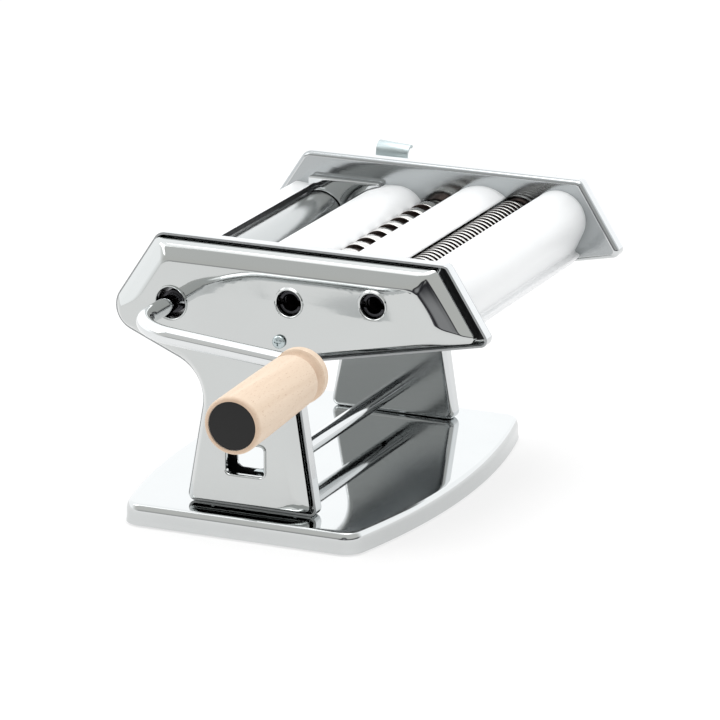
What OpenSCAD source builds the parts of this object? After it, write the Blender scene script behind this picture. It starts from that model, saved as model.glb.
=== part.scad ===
// Hand cranked pasta machine: sheet rollers, a wide and a narrow cutter, crank with a wooden grip.
// X runs along the rollers with the crank at +X, Y from the sheet rollers to the cutters, Z up.
// The origin is on the table, under the middle of the base.

/* [Working width] */
// Length of the rollers and cutters
roller_len = 150; // [120:1:180]
// End play between a roller and the side plate, each end
end_play = 1.5; // [1.4:0.1:3]

/* [Side plates] */
// Sheet thickness of the side plates
plate_t = 1.2; // [0.8:0.1:1.8]
// Depth of the turned out flange round each side plate
flange_depth = 7.5; // [6:0.5:9]
// Height of the head above the base
head_h = 127; // [125:1:140]
// Front end of the straight top edge
top_front_y = -46.5; // [-50:0.5:-44]
// Rear end of the straight top edge
top_rear_y = 96.5; // [95:0.5:110]
// Front tip of the head, before rounding
front_tip_y = -74.5; // [-84:0.5:-72]
// Height of the front tip
front_tip_h = 84.5; // [80:0.5:90]
// Rear tip of the head
rear_tip_y = 118.5; // [114:0.5:130]
// Height of the rear tip
rear_tip_h = 92; // [88:0.5:96]
// Width of the leg at the base
leg_foot_w = 66; // [60:1:80]
// Width of the leg where it meets the head
leg_neck_w = 44; // [40:1:50]
// Height where the leg meets the underside at the front
neck_front_h = 62; // [56:1:66]
// Height where the leg meets the underside at the rear
neck_rear_h = 72.5; // [66:0.5:76]
// Radius of the front tip
front_tip_r = 12; // [10:1:24]
// Radius of the hollow under the front tip
neck_r = 20; // [8:1:24]
// Radius of the front top corner
top_front_r = 6; // [4:0.5:10]
// Radius of the other corners
corner_r = 3.5; // [2:0.5:5]

/* [Side covers] */
// Sheet thickness of the covers
cover_t = 0.8; // [0.6:0.1:1.2]
// Groove between the flange and the cover
cover_groove = 2.4; // [2:0.1:4]
// Height of the cover face above the inner face of the side plate
cover_depth = 15; // [14:0.5:20]
// Width of the shallow bevel along the top of the face
cover_bevel = 8.1; // [6:0.1:10]
// Width of the steep bevel outside it, at the rear of the cover
cover_lean = 6; // [4:0.5:8]
// Drop of the bevel from the face to the wall
cover_drop = 7; // [5:0.5:8]
// Radius of the hole that the crank goes through
crank_hole_r = 8; // [7:0.1:9]
// Radius of the two cutter holes
cutter_hole_r = 6.7; // [6.4:0.1:7.5]
// Depth of the collar that is plunged inwards round each hole
hole_collar = 1.5; // [1:0.1:1.5]
// Width of the table clamp window in the crank side leg
window_w = 20.5; // [14:0.5:24]
// Height of the window
window_h = 16; // [12:0.5:20]
// Height of the window's sill above the base
window_sill = 17.5; // [17:0.5:24]
// Corner radius of the window
window_r = 3; // [1:0.5:5]

/* [Base] */
// Length of the base along the rollers
base_len = 201; // [195:1:230]
// Width of the base at its ends
base_end_w = 116; // [100:1:130]
// Width of the base in the middle
base_mid_w = 143; // [130:1:170]
// Height of the base top above the table
base_h = 11; // [10:0.5:16]
// How far the feet stand out below the rim
foot_proud = 1; // [0.5:0.1:2]
// Sheet thickness of the base
base_t = 1.2; // [0.8:0.1:1.6]
// Corner radius of the base
base_corner_r = 10; // [8:0.5:20]
// Radius of the rolled top edge
base_edge_r = 4; // [3:0.5:5]
// Radius of the rubber feet
foot_r = 8; // [5:0.5:10]
// Distance of a foot's middle from the base edges
foot_inset = 16; // [14:0.5:24]

/* [Sheet rollers] */
// Diameter of the two smooth rollers
roller_d = 25; // [22:0.5:27]
// Position of the driven roller, front to back
drive_y = -36.6; // [-38:0.2:-35]
// Height of the smooth rollers above the base
sheet_h = 96.4; // [94:0.2:98]
// Gap between the smooth rollers with the lever upright
sheet_gap = 1.45; // [1.4:0.05:2]
// Wall of the adjustable roller over its bearings
roller_wall = 3.6; // [3:0.1:4]

/* [Cutters] */
// Outer diameter of the cutter rings
cutter_d = 17.2; // [15.6:0.1:19]
// How far the rings of a pair reach into each other
cutter_bite = 0.8; // [0.5:0.1:1]
// Depth of the grooves between rings
groove_depth = 1.5; // [1.4:0.1:2]
// Width of a wide noodle
wide_noodle = 6.5; // [5:0.5:8]
// Width of a narrow noodle
narrow_noodle = 2; // [1.5:0.1:3]
// Side clearance of a ring in its groove
ring_play = 0.15; // [0.1:0.01:0.2]
// Position of the driven wide cutter
wide_y = 22.3; // [21:0.1:23]
// Height of the wide cutters
wide_h = 102.8; // [101:0.1:104]
// Position of the driven narrow cutter
narrow_y = 63.5; // [62:0.1:65]
// Height of the narrow cutters
narrow_h = 106.3; // [105:0.1:107]
// Radius of the roller and cutter shafts
shaft_r = 4.8; // [4.5:0.1:5.5]
// Wall of the nylon shaft bushes
bush_wall = 1.2; // [1:0.1:1.5]

/* [Gears] */
// Teeth on every gear
gear_teeth = 12; // [11:1:14]
// Width of the gears
gear_w = 5; // [3:0.5:6]

/* [Guards] */
// Sheet thickness of the guards
guard_t = 0.8; // [0.6:0.1:1.2]
// Clearance of the roller guard over the adjustable roller
roller_guard_rise = 6.1; // [4:0.1:8]
// Least clearance of the roller guard over the wide cutter
wide_guard_rise = 2.7; // [2.5:0.1:5]
// Front of the wide feed slot, ahead of the driven cutter's axis
wide_slot_front = 7.4; // [6:0.2:9]
// Rear of the wide feed slot, behind that axis
wide_slot_rear = 12.6; // [11:0.2:14]
// Front of the narrow feed slot, ahead of the driven cutter's axis
narrow_slot_front = 5.2; // [4.6:0.2:9]
// Radius of the roller guard over the adjustable roller
roller_guard_r = 34; // [30:0.5:38]
// Radius of the roller guard where it turns down to the wide feed slot
roller_guard_end_r = 14.5; // [13:0.5:18]
// Clearance of the cutter guard over the narrow cutters
cutter_guard_rise = 4.6; // [3:0.1:6]
// Radius of the cutter guard
cutter_guard_r = 20; // [18:0.5:24]
// Clearance of the rear guard round the rear cutter
rear_guard_rise = 5.4; // [4:0.1:6]
// Distance of the front guard's face from the front edge of the plates
front_guard_inset = 4.5; // [3:0.1:6]
// Thickness of the dough guides over the roller ends
guide_t = 4; // [3:0.5:6]
// Height of the dough guides above the rollers
guide_rise = 7; // [5:0.5:9]
// Reach of the dough guides ahead of and behind the roller axes
guide_reach = 6; // [4:0.5:8]

/* [Crank] */
// Diameter of the crank rod
rod_d = 8; // [7:0.1:8]
// Distance of the crank arm from the middle of the machine
arm_x = 134.5; // [126:0.5:150]
// Length of the crank arm between its two axes
arm_len = 90; // [60:1:90]
// Slope of the arm below the horizontal, at rest
arm_drop = 5; // [0:0.5:20]
// Bend radius of the rod's middle line where the arm starts
rod_bend_r = 21; // [16:0.5:24]
// Bend radius of the rod's middle line next to the grip
grip_bend_r = 9; // [7:0.5:14]
// Angle that the grip leans out from the arm's axis
grip_splay = 2.8; // [0:0.1:3]
// Length of the wooden grip
grip_len = 82; // [60:1:100]
// Diameter of the grip at its free end
grip_d = 26; // [23:0.2:30]
// Diameter of the grip next to the groove
grip_neck_d = 24.8; // [22:0.2:26]
// Diameter of the grip's collar
collar_d = 25.4; // [23:0.2:30]
// Width of the grip's collar
collar_w = 6; // [5:0.5:9]
// Width of the groove between the collar and the body
cove_w = 6.4; // [4:0.2:8]
// Depth of that groove
cove_depth = 2.8; // [1:0.2:3]
// Diameter of the cap in the end of the grip
cap_d = 21.8; // [16:0.2:24]
// Depth that the crank goes into a socket
socket_depth = 9; // [8.5:0.1:9.4]

/* [Thickness lever] */
// Offset of the eccentric axle
eccentric = 1.6; // [1.2:0.05:1.6]
// Turn of the lever to each side
lever_turn = 50; // [30:1:50]
// Radius of the eccentric axle
axle_r = 5; // [4.5:0.1:5]
// Width of the lever strip
lever_w = 16.5; // [15:0.5:24]
// Thickness of the lever strip
lever_t = 1.5; // [1:0.1:2]
// Height of the lever's tip above its pivot
lever_reach = 35.5; // [30:0.5:44]
// Lean of the lever towards the cutters, at rest
lever_lean = 4; // [0:0.5:8]
// Radius of the curled tip
lever_curl_r = 2.6; // [2.5:0.1:4]
// Index holes on each side of the upright one
index_side_holes = 3; // [2:1:4]
// Distance of the index holes from the lever's pivot
index_r = 15; // [13:0.5:17]
// Radius of the index holes
index_hole_r = 1.8; // [1.6:0.1:2]

/* [Fasteners and tie rods] */
// Diameter of the tie rods
tie_d = 8; // [6:0.5:10]
// Diameter of their threaded ends
tie_thread_d = 5; // [4:0.5:5]
// Position of the upper tie rod that also holds the covers
post_y = 17.6; // [16:0.2:19]
// Height of that tie rod
post_h = 84.3; // [83:0.1:86]
// Position of the tie rod under the narrow cutter
rear_tie_y = 52; // [51:0.5:54]
// Height of that tie rod
rear_tie_h = 90; // [88:0.5:91]
// Height of the tie rod between the legs
foot_tie_h = 13.4; // [12:0.1:13.4]
// Position of that tie rod
foot_tie_y = 2; // [-2:0.5:4]
// Radius of the cover screw head
screw_head_r = 3.1; // [2.5:0.1:4]
// Radius of the cover screw shank
screw_r = 1.5; // [1.2:0.1:2]
// Distance of the base screws from the ends of the leg
base_screw_inset = 12; // [8:0.5:16]

/* [Fits] */
// Radial clearance of a shaft that turns in its bush
run_fit = 0.05; // [0.02:0.01:0.1]
// Radial clearance of the crank in a socket
slide_fit = 0.08; // [0.05:0.01:0.1]
// Radial clearance of pieces that are pushed together and stay
seat_fit = 0.03; // [0.02:0.01:0.05]
// Clearance of moving pieces that must not touch
clear = 0.4; // [0.35:0.05:0.6]

/* [Hidden] */
$fn = 64;

// Finishes
chrome = [0.84, 0.86, 0.87];
zinc = [0.66, 0.71, 0.73];
steel = [0.55, 0.56, 0.58];
dark_steel = [0.16, 0.16, 0.17];
nylon = [0.9, 0.89, 0.84];
black_plastic = [0.1, 0.1, 0.1];
beech = [0.9, 0.74, 0.57];

// Places along X
roller_end = roller_len / 2;
plate_x = roller_end + end_play;
web_x = plate_x + plate_t;
lip_x = plate_x + flange_depth;
face_x = plate_x + cover_depth;
inside_x = face_x - cover_t;
bush_flange_t = 1.4;
gear_x = web_x + bush_flange_t + 1;
gear_end_x = gear_x + gear_w;
stub_x = web_x + bush_flange_t + clear;
socket_end_x = stub_x + socket_depth + 0.6;

// Places of the axes in Y, with heights measured from the base
roller_r = roller_d / 2;
cutter_r = cutter_d / 2;
adjust_y = drive_y + roller_d + sheet_gap;
pivot_h = sheet_h - eccentric;
cutter_step = cutter_d - cutter_bite;
wide_mate_y = wide_y + cutter_step;
narrow_mate_y = narrow_y + cutter_step;
sheet_travel = eccentric * sin(lever_turn);

// Shafts and their bushes
core_r = cutter_r - groove_depth;
bush_r = shaft_r + run_fit + bush_wall;
bush_flange_r = bush_r + 1;
socket_r = shaft_r + 0.5;
socket_bore_r = rod_d / 2 + slide_fit;
dial_shaft_x = web_x + bush_flange_t + 1;
hub_r = axle_r + 3.5;
hub_wall = 1.1;
mate_end_x = gear_end_x + 0.6;
hub_end_x = mate_end_x;
sleeve_r = roller_r - roller_wall;
sleeve_bore_r = axle_r + 0.9;
sleeve_len = 14;
axle_journal_r = axle_r - 1;
axle_bush_r = axle_journal_r + run_fit + 2;
fixed_bushes = [
    [drive_y, sheet_h], [wide_y, wide_h], [wide_mate_y, wide_h],
    [narrow_y, narrow_h], [narrow_mate_y, narrow_h]
];
tie_places = [[post_y, post_h], [rear_tie_y, rear_tie_h], [foot_tie_y, foot_tie_h]];
nut_places = [tie_places[1], tie_places[2]];
nut_t = 3.4;
nut_r = tie_thread_d * 0.92;
thread_fit = 0.2;
base_screw_y = leg_foot_w / 2 - base_screw_inset;
base_screw_x = (web_x + lip_x) / 2;

// Outline of the side plates, as corners with their radii, anticlockwise seen from the crank side
side_corners = [
    [-leg_foot_w / 2, 0], [leg_foot_w / 2, 0], [leg_neck_w / 2, neck_rear_h],
    [rear_tip_y, rear_tip_h], [top_rear_y, head_h], [top_front_y, head_h],
    [front_tip_y, front_tip_h], [-leg_neck_w / 2, neck_front_h]
];
side_radii = [
    corner_r, corner_r, corner_r, corner_r, corner_r, top_front_r, front_tip_r, neck_r
];
// Share of the cover's two bevels on each edge: foot, leg rear, underside, rear, top, front, chin, leg front
bevel_share = [0.2, 0.4, 0.4, 0.85, 1, 0.8, 0.6, 0.4];
lean_share = [0.15, 0.3, 0.5, 1, 0.15, 0.6, 0.5, 0.3];
corner_steps = 6;
least_r = 0.8;

function unit(v) = v / norm(v);
function wrapped(list, i) = list[(i + len(list)) % len(list)];
function turn_of(a, b) = a[0] * b[1] - a[1] * b[0];

// Points of an arc of radius r that rounds the corner c between its neighbours p and q
function corner_arc(p, c, q, r, steps) =
    let (u = unit(p - c), v = unit(q - c), half = acos(u * v) / 2)
    let (centre = c + unit(u + v) * r / sin(half), reach = r / tan(half))
    let (from = c + u * reach - centre, to = c + v * reach - centre)
    let (start = atan2(from[1], from[0]), end = atan2(to[1], to[0]))
    let (raw = end - start, sweep = raw > 180 ? raw - 360 : raw < -180 ? raw + 360 : raw)
    [for (i = [0:steps]) centre + r * [cos(start + sweep * i / steps), sin(start + sweep * i / steps)]];

function rounded(corners, radii, steps) = [
    for (i = [0:len(corners) - 1])
    for (p = corner_arc(wrapped(corners, i - 1), corners[i], wrapped(corners, i + 1), radii[i], steps)) p
];

// Corners moved inwards, each edge by its own distance
function edge_dir(corners, i) = unit(wrapped(corners, i + 1) - wrapped(corners, i));
function edge_normal(corners, i) = let (e = edge_dir(corners, i)) [-e[1], e[0]];
function moved_corner(corners, inset, i) =
    let (a = wrapped(corners, i) + edge_normal(corners, i - 1) * wrapped(inset, i - 1))
    let (b = wrapped(corners, i) + edge_normal(corners, i) * wrapped(inset, i))
    let (e = edge_dir(corners, i - 1), m = edge_normal(corners, i))
    a + e * ((b - a) * m) / (e * m);
function moved_radius(corners, radii, inset, i) =
    let (d = max(wrapped(inset, i - 1), wrapped(inset, i)))
    turn_of(edge_dir(corners, i - 1), edge_dir(corners, i)) > 0
    ? max(radii[i] - d, least_r) : radii[i] + d;

function side_ring(inset) = rounded(
    [for (i = [0:len(side_corners) - 1]) moved_corner(side_corners, inset, i)],
    [for (i = [0:len(side_corners) - 1]) moved_radius(side_corners, side_radii, inset, i)],
    corner_steps
);
function even(d) = [for (s = bevel_share) d];

// Skin through rings of points, closed by fans from a hub point inside the first and the last ring
module loft(rings, first_hub, last_hub) {
    count = len(rings[0]);
    last = len(rings) - 1;
    hub = len(rings) * count;
    sides = [
        for (k = [0:last - 1]) for (i = [0:count - 1])
        let (j = (i + 1) % count, a = k * count, b = a + count)
        for (face = [[a + i, b + i, b + j], [a + i, b + j, a + j]]) face
    ];
    caps = [
        for (i = [0:count - 1])
        let (j = (i + 1) % count, a = last * count)
        for (face = [[hub, i, j], [hub + 1, a + j, a + i]]) face
    ];
    points = [for (ring = rings) for (p = ring) p];
    polyhedron(concat(points, [first_hub, last_hub]), concat(sides, caps));
}

// Solids along X: a rod, a tube, a hexagon and an extruded profile of Y and Z
module rod_x(r, x0, x1) {
    translate([x0, 0, 0]) rotate([0, 90, 0]) cylinder(r = r, h = x1 - x0);
}
module tube_x(r_out, r_in, x0, x1) {
    difference() {
        rod_x(r_out, x0, x1);
        rod_x(r_in, x0 - 1, x1 + 1);
    }
}
module hex_x(r, x0, x1) {
    translate([x0, 0, 0]) rotate([0, 90, 0]) rotate([0, 0, 30]) cylinder(r = r, h = x1 - x0, $fn = 6);
}
module profile_x(x0, x1) {
    translate([x0, 0, 0]) rotate([90, 0, 90]) linear_extrude(x1 - x0) children();
}
module at_axis(y, h) {
    translate([0, y, base_h + h]) children();
}
module over_base() {
    translate([0, 0, base_h]) children();
}
module dial_side() {
    mirror([1, 0, 0]) children();
}

// Sheet of thickness t whose outer face follows a path, with the sheet to the right of the path
function path_normal(path, i) =
    let (a = path[max(i - 1, 0)], b = path[i], c = path[min(i + 1, len(path) - 1)])
    let (u = i == 0 ? unit(c - b) : unit(b - a), v = i == len(path) - 1 ? u : unit(c - b))
    let (m = unit(u + v))
    [m[1], -m[0]] / (m * u);
function strip(path, t) = concat(path, [
    for (i = [len(path) - 1:-1:0]) path[i] + path_normal(path, i) * t
]);
function arc(centre, r, from, to, steps) = [
    for (i = [0:steps]) let (a = from + (to - from) * i / steps) centre + r * [cos(a), sin(a)]
];

// Base: a pressed tray with bowed long sides, a rolled top edge and an open underside
bow_rise = (base_mid_w - base_end_w) / 2;
bow_r = (pow(base_len / 2, 2) + pow(bow_rise, 2)) / (2 * bow_rise);
bow_centre_y = base_mid_w / 2 - bow_r;
fillet_x = base_len / 2 - base_corner_r;
fillet_y = bow_centre_y + sqrt(pow(bow_r - base_corner_r, 2) - pow(fillet_x, 2));
bow_from = atan2(fillet_y - bow_centre_y, fillet_x);
bow_steps = 14;
// One quarter turn of the corner and half of the bow at the +X, +Y side, for an inset d
function base_quarter(d) = concat(
    arc([fillet_x, fillet_y], base_corner_r - d, 0, bow_from, corner_steps),
    [for (i = [1:bow_steps / 2])
        let (a = bow_from + (90 - bow_from) * i * 2 / bow_steps)
        [(bow_r - d) * cos(a), bow_centre_y + (bow_r - d) * sin(a)]]
);
function flipped(list) = [for (i = [len(list) - 1:-1:0]) list[i]];
function base_ring(d, z) =
    let (q = base_quarter(d), n = len(q) - 1)
    [for (p = concat(
        q,
        [for (i = [n - 1:-1:0]) [-q[i][0], q[i][1]]],
        [for (i = [0:n]) [-q[i][0], -q[i][1]]],
        [for (i = [n - 1:-1:0]) [q[i][0], -q[i][1]]]
    )) [p[0], p[1], z]];
// Rings of the rolled edge, from the rim to the flat top, d further in than the outer face
function base_skin(d) = concat(
    [base_ring(d, foot_proud)],
    [for (a = [0:18:90])
        let (r = base_edge_r - d)
        base_ring(base_edge_r - r * cos(a), base_h - base_edge_r + r * sin(a))]
);

module base_screw_places() {
    for (x = [-base_screw_x, base_screw_x], y = [-base_screw_y, base_screw_y])
        translate([x, y, 0]) children();
}
module base_plate() {
    color(chrome) difference() {
        loft(concat(flipped(base_skin(base_t)), base_skin(0)), [0, 0, base_h - base_t], [0, 0, base_h]);
        base_screw_places() cylinder(r = screw_r + thread_fit, h = base_h + 1);
    }
}
module rubber_feet() {
    foot_x = base_len / 2 - foot_inset;
    foot_y = base_end_w / 2 - foot_inset;
    color(black_plastic)
        for (x = [-foot_x, foot_x], y = [-foot_y, foot_y])
            translate([x, y, 0]) cylinder(r = foot_r, h = base_h - base_t);
}
module base_screws() {
    head_t = 2;
    color(steel) base_screw_places() {
        translate([0, 0, base_h - base_t - head_t]) cylinder(r = screw_head_r, h = head_t);
        translate([0, 0, base_h - base_t]) cylinder(r = screw_r, h = base_t + plate_t + 0.8);
    }
}

// Side plates: flat sheet with a flange turned out all round, drilled for shafts and tie rods
module window_shape(grow) {
    half = window_w / 2 + grow;
    low = window_sill - grow;
    high = window_sill + window_h + grow;
    r = window_r + grow;
    polygon(rounded([[-half, low], [half, low], [half, high], [-half, high]], [r, r, r, r], corner_steps));
}
module plate_blank() {
    over_base() {
        profile_x(plate_x, web_x) polygon(side_ring(even(0)));
        profile_x(web_x, lip_x) difference() {
            polygon(side_ring(even(0)));
            polygon(side_ring(even(plate_t)));
        }
    }
}
module plate_holes() {
    for (p = fixed_bushes)
        at_axis(p[0], p[1]) rod_x(bush_r + seat_fit, plate_x - 1, web_x + 1);
    for (p = tie_places)
        at_axis(p[0], p[1]) rod_x(tie_thread_d / 2 + thread_fit, plate_x - 1, web_x + 1);
    base_screw_places() translate([0, 0, base_h - 1]) cylinder(r = screw_r + seat_fit, h = plate_t + 2);
}
module crank_side_plate() {
    slot_r = hub_r + clear;
    color(chrome) difference() {
        plate_blank();
        plate_holes();
        at_axis(adjust_y, sheet_h) {
            for (s = [-sheet_travel, sheet_travel])
                translate([0, s, 0]) rod_x(slot_r, plate_x - 1, web_x + 1);
            translate([plate_x - 1, -sheet_travel, -slot_r])
                cube([plate_t + 2, 2 * sheet_travel, 2 * slot_r]);
        }
        over_base() profile_x(plate_x - 1, web_x + 1) window_shape(0);
    }
}
module dial_side_plate() {
    color(chrome) dial_side() difference() {
        plate_blank();
        plate_holes();
        at_axis(adjust_y, pivot_h) rod_x(axle_bush_r + seat_fit, plate_x - 1, web_x + 1);
    }
}

// Covers: pressed pans with a wall, a steep bevel, a shallow bevel and a flat face
cover_foot_x = web_x + 0.2;
cover_steps = [
    // [share of the steep bevel, share of the shallow bevel, share of the drop below the face]
    [0, 0, 1], [0.3, 0, 0.8], [0.7, 0, 0.56], [1, 0.05, 0.41], [1, 0.5, 0.2], [1, 0.85, 0.04], [1, 1, 0]
];
function cover_inset(lean, bevel, extra) = [
    for (i = [0:len(bevel_share) - 1])
        cover_groove + extra + cover_lean * lean * lean_share[i] + cover_bevel * bevel * bevel_share[i]
];
function cover_ring(lean, bevel, x, extra) =
    [for (p = side_ring(cover_inset(lean, bevel, extra))) [x, p[0], p[1]]];
function cover_skin(extra) = concat(
    [cover_ring(0, 0, cover_foot_x, extra)],
    [for (s = cover_steps) cover_ring(s[0], s[1], face_x - cover_drop * s[2] - extra, extra)]
);
// Point of the face that sees its whole outline, over the neck of the leg
hub_h = neck_rear_h + 8;
module cover_blank() {
    rings = concat(flipped(cover_skin(cover_t)), cover_skin(0));
    over_base() loft(rings, [inside_x, 0, hub_h], [face_x, 0, hub_h]);
}
module screw_hole() {
    at_axis(post_y, post_h) rod_x(screw_r + thread_fit, inside_x - 1, face_x + 1);
}
module collar_at(y, h, r) {
    at_axis(y, h) tube_x(r + cover_t, r, inside_x - hole_collar, face_x - cover_t / 2);
}
module crank_side_cover() {
    holes = [[drive_y, sheet_h, crank_hole_r], [wide_y, wide_h, cutter_hole_r],
        [narrow_y, narrow_h, cutter_hole_r]];
    color(chrome) difference() {
        union() {
            cover_blank();
            for (p = holes) collar_at(p[0], p[1], p[2]);
        }
        for (p = holes) at_axis(p[0], p[1]) rod_x(p[2], inside_x - cover_t, face_x + 1);
        screw_hole();
        over_base() profile_x(inside_x - 1, face_x + 1) window_shape(0);
    }
}
index_step = lever_turn / index_side_holes;
module dial_side_cover() {
    color(chrome) dial_side() difference() {
        cover_blank();
        screw_hole();
        at_axis(adjust_y, pivot_h) {
            rod_x(axle_journal_r + clear, inside_x - 1, face_x + 1);
            for (i = [-index_side_holes:index_side_holes])
                rotate([i * index_step - lever_lean, 0, 0])
                    translate([0, 0, index_r]) rod_x(index_hole_r, inside_x - cover_drop, face_x + 1);
        }
    }
}

// Tie rods between the plates, with shouldered threaded ends, nuts and the posts that hold the covers
module tie_rods() {
    color(steel) for (p = tie_places) at_axis(p[0], p[1]) {
        rod_x(tie_d / 2, -plate_x, plate_x);
        rod_x(tie_thread_d / 2, -web_x - nut_t - 1, web_x + nut_t + 1);
    }
}
module tie_rod_nuts() {
    color(zinc) for (p = nut_places, side = [0, 1]) mirror([side, 0, 0]) at_axis(p[0], p[1])
        difference() {
            hex_x(nut_r, web_x, web_x + nut_t);
            rod_x(tie_thread_d / 2 + seat_fit, web_x - 1, web_x + nut_t + 1);
        }
}
post_bore = 7;
module cover_posts() {
    color(zinc) for (side = [0, 1]) mirror([side, 0, 0]) at_axis(post_y, post_h)
        difference() {
            hex_x(nut_r, web_x, inside_x);
            rod_x(tie_thread_d / 2 + seat_fit, web_x - 1, web_x + nut_t + 1.2);
            rod_x(screw_r + seat_fit, inside_x - post_bore, inside_x + 1);
        }
}
// Pan head screws: a turned head with a cross recess
module cover_screws() {
    head_t = 1.8;
    edge_t = 0.6;
    recess_w = screw_head_r * 0.26;
    recess_l = screw_head_r * 1.1;
    dome = [for (a = [0:15:90]) [screw_head_r * cos(a), edge_t + (head_t - edge_t) * sin(a)]];
    color(zinc) for (side = [0, 1]) mirror([side, 0, 0]) at_axis(post_y, post_h) {
        rod_x(screw_r, inside_x - post_bore + 1.5, face_x);
        difference() {
            translate([face_x, 0, 0]) rotate([0, 90, 0])
                rotate_extrude() polygon(concat([[0, 0], [screw_head_r, 0]], dome));
            for (a = [0, 90]) rotate([a, 0, 0])
                translate([face_x + head_t / 2, -recess_l / 2, -recess_w / 2])
                    cube([head_t, recess_l, recess_w]);
        }
    }
}

// Guards: bent sheets that run from plate to plate
module sheet_guard(path) {
    over_base() profile_x(-plate_x, plate_x) polygon(strip(path, guard_t));
}
front_edge = unit([front_tip_y - top_front_y, front_tip_h - head_h]);
front_len = norm([front_tip_y - top_front_y, front_tip_h - head_h]);
function front_face(share) = [top_front_y, head_h] + front_edge * front_len * share
    + [-front_edge[1], front_edge[0]] * front_guard_inset;
chute_gap = 1;
chute_angle = 138;
module front_guard() {
    edge = [drive_y, sheet_h] + (roller_r + chute_gap) * [cos(chute_angle), sin(chute_angle)];
    low = front_face(0.84);
    hem = low + [7, -4.5];
    color(chrome) sheet_guard([hem, low, front_face(0.3), edge]);
}
roller_guard_y = adjust_y + roller_r + 0.8;
roller_guard_top = max(sheet_h + roller_r + roller_guard_rise, wide_h + cutter_r + wide_guard_rise);
roller_guard_h = roller_guard_top - roller_guard_r;
slot_front_y = wide_y - wide_slot_front;
slot_rear_y = wide_y + wide_slot_rear;
module roller_guard() {
    end = acos(min(0.9, (slot_front_y - roller_guard_y) / roller_guard_end_r));
    front = arc([roller_guard_y, roller_guard_h], roller_guard_r, 117, 90, 12);
    rear = arc([roller_guard_y, roller_guard_top - roller_guard_end_r], roller_guard_end_r, 90, end, 12);
    color(chrome) sheet_guard(concat(front, [for (i = [1:12]) rear[i]]));
}
module cutter_guard() {
    end_y = narrow_y - narrow_slot_front;
    mid_y = (slot_rear_y + end_y) / 2;
    mid_h = narrow_h + cutter_r + cutter_guard_rise - cutter_guard_r;
    reach = acos((end_y - mid_y) / cutter_guard_r);
    color(chrome) sheet_guard(arc([mid_y, mid_h], cutter_guard_r, 180 - reach, reach, 20));
}
module rear_guard() {
    centre = [narrow_mate_y + 6.1, narrow_h + 1.2];
    r = cutter_r + rear_guard_rise;
    tail = -25;
    turn = centre + r * [cos(tail), sin(tail)];
    skirt = turn + 10 * [sin(tail), -cos(tail)];
    path = concat(arc(centre, r, 137, tail, 28), [skirt, skirt + [3.4, -1.2], skirt + [-1.4, -6.4]]);
    color(chrome) sheet_guard(path);
}
// Cheeks over the ends of the smooth rollers that keep the dough off the plates
module dough_guides() {
    top = sheet_h + roller_r + guide_rise;
    low = sheet_h + roller_r / 2;
    front = drive_y - guide_reach;
    rear = adjust_y + guide_reach;
    drive_room = roller_r + clear;
    adjust_room = roller_r + sheet_travel + clear;
    shape = rounded([[front, low], [rear, low], [rear, top], [front, top]], [1, 1, 3, 1], corner_steps);
    color(chrome) for (side = [0, 1]) mirror([side, 0, 0]) difference() {
        over_base() profile_x(plate_x - guide_t, plate_x) polygon(shape);
        at_axis(drive_y, sheet_h) rod_x(drive_room, plate_x - guide_t - 1, plate_x + 1);
        at_axis(adjust_y, sheet_h) rod_x(adjust_room, plate_x - guide_t - 1, plate_x + 1);
        at_axis(roller_guard_y, roller_guard_h)
            rod_x(roller_guard_r + clear, plate_x - guide_t - 1, plate_x + 1);
    }
}

// Scrapers under the smooth rollers: spring strips whose edge trails on the roller
scraper_len = 9;
scraper_t = 0.8;
module scraper(y, lean) {
    edge = [y, sheet_h - roller_r - clear];
    foot = edge + scraper_len * [sin(lean), -cos(lean)];
    across = scraper_t / 2 * [cos(lean), sin(lean)];
    over_base() profile_x(-plate_x, plate_x) polygon([edge, foot - across, foot + across]);
}
module drive_scraper() {
    color(steel) scraper(drive_y, -35);
}
module adjust_scraper() {
    color(steel) scraper(adjust_y, 35);
}

// Rings of a cutter: count and places follow the noodle width, the mate has one ring more
function ring_count(noodle) = floor((roller_len - noodle) / (2 * noodle));
function ring_places(count, noodle) = [for (i = [0:count - 1]) (i - (count - 1) / 2) * 2 * noodle];
module cutter(noodle, count, crank_end) {
    half = noodle / 2 - ring_play;
    rings = [
        for (x = ring_places(count, noodle))
        for (p = [[core_r, x - half], [cutter_r, x - half], [cutter_r, x + half], [core_r, x + half]]) p
    ];
    rotate([0, 90, 0]) rotate_extrude() polygon(concat(
        [[0, -dial_shaft_x], [shaft_r, -dial_shaft_x], [shaft_r, -roller_end], [core_r, -roller_end]],
        rings,
        [[core_r, roller_end], [shaft_r, roller_end], [shaft_r, crank_end], [0, crank_end]]
    ));
}
// Comb: a flat strip with one finger in each groove, laid tangent to the groove under the nip
comb_t = 0.8;
comb_finger = 5.6;
comb_bar = 5;
comb_angle = -49;
module comb(noodle, count, side) {
    half = noodle / 2 - ring_play - clear / 2;
    fingers = [
        for (x = ring_places(count, noodle))
        for (p = [[x - half, comb_finger], [x - half, 0], [x + half, 0], [x + half, comb_finger]]) p
    ];
    shape = concat([[-plate_x, comb_finger]], fingers, [
        [plate_x, comb_finger], [plate_x, comb_finger + comb_bar], [-plate_x, comb_finger + comb_bar]
    ]);
    reach = core_r + clear;
    mirror([0, side, 0]) rotate([comb_angle, 0, 0]) translate([0, reach, 0])
        rotate([90, 0, 0]) mirror([0, 1, 0]) translate([0, 0, -comb_t])
            linear_extrude(comb_t) polygon(shape);
}
wide_rings = ring_count(wide_noodle);
narrow_rings = ring_count(narrow_noodle);
module wide_drive_comb() {
    color(steel) at_axis(wide_y, wide_h) comb(wide_noodle, wide_rings + 1, 0);
}
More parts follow.
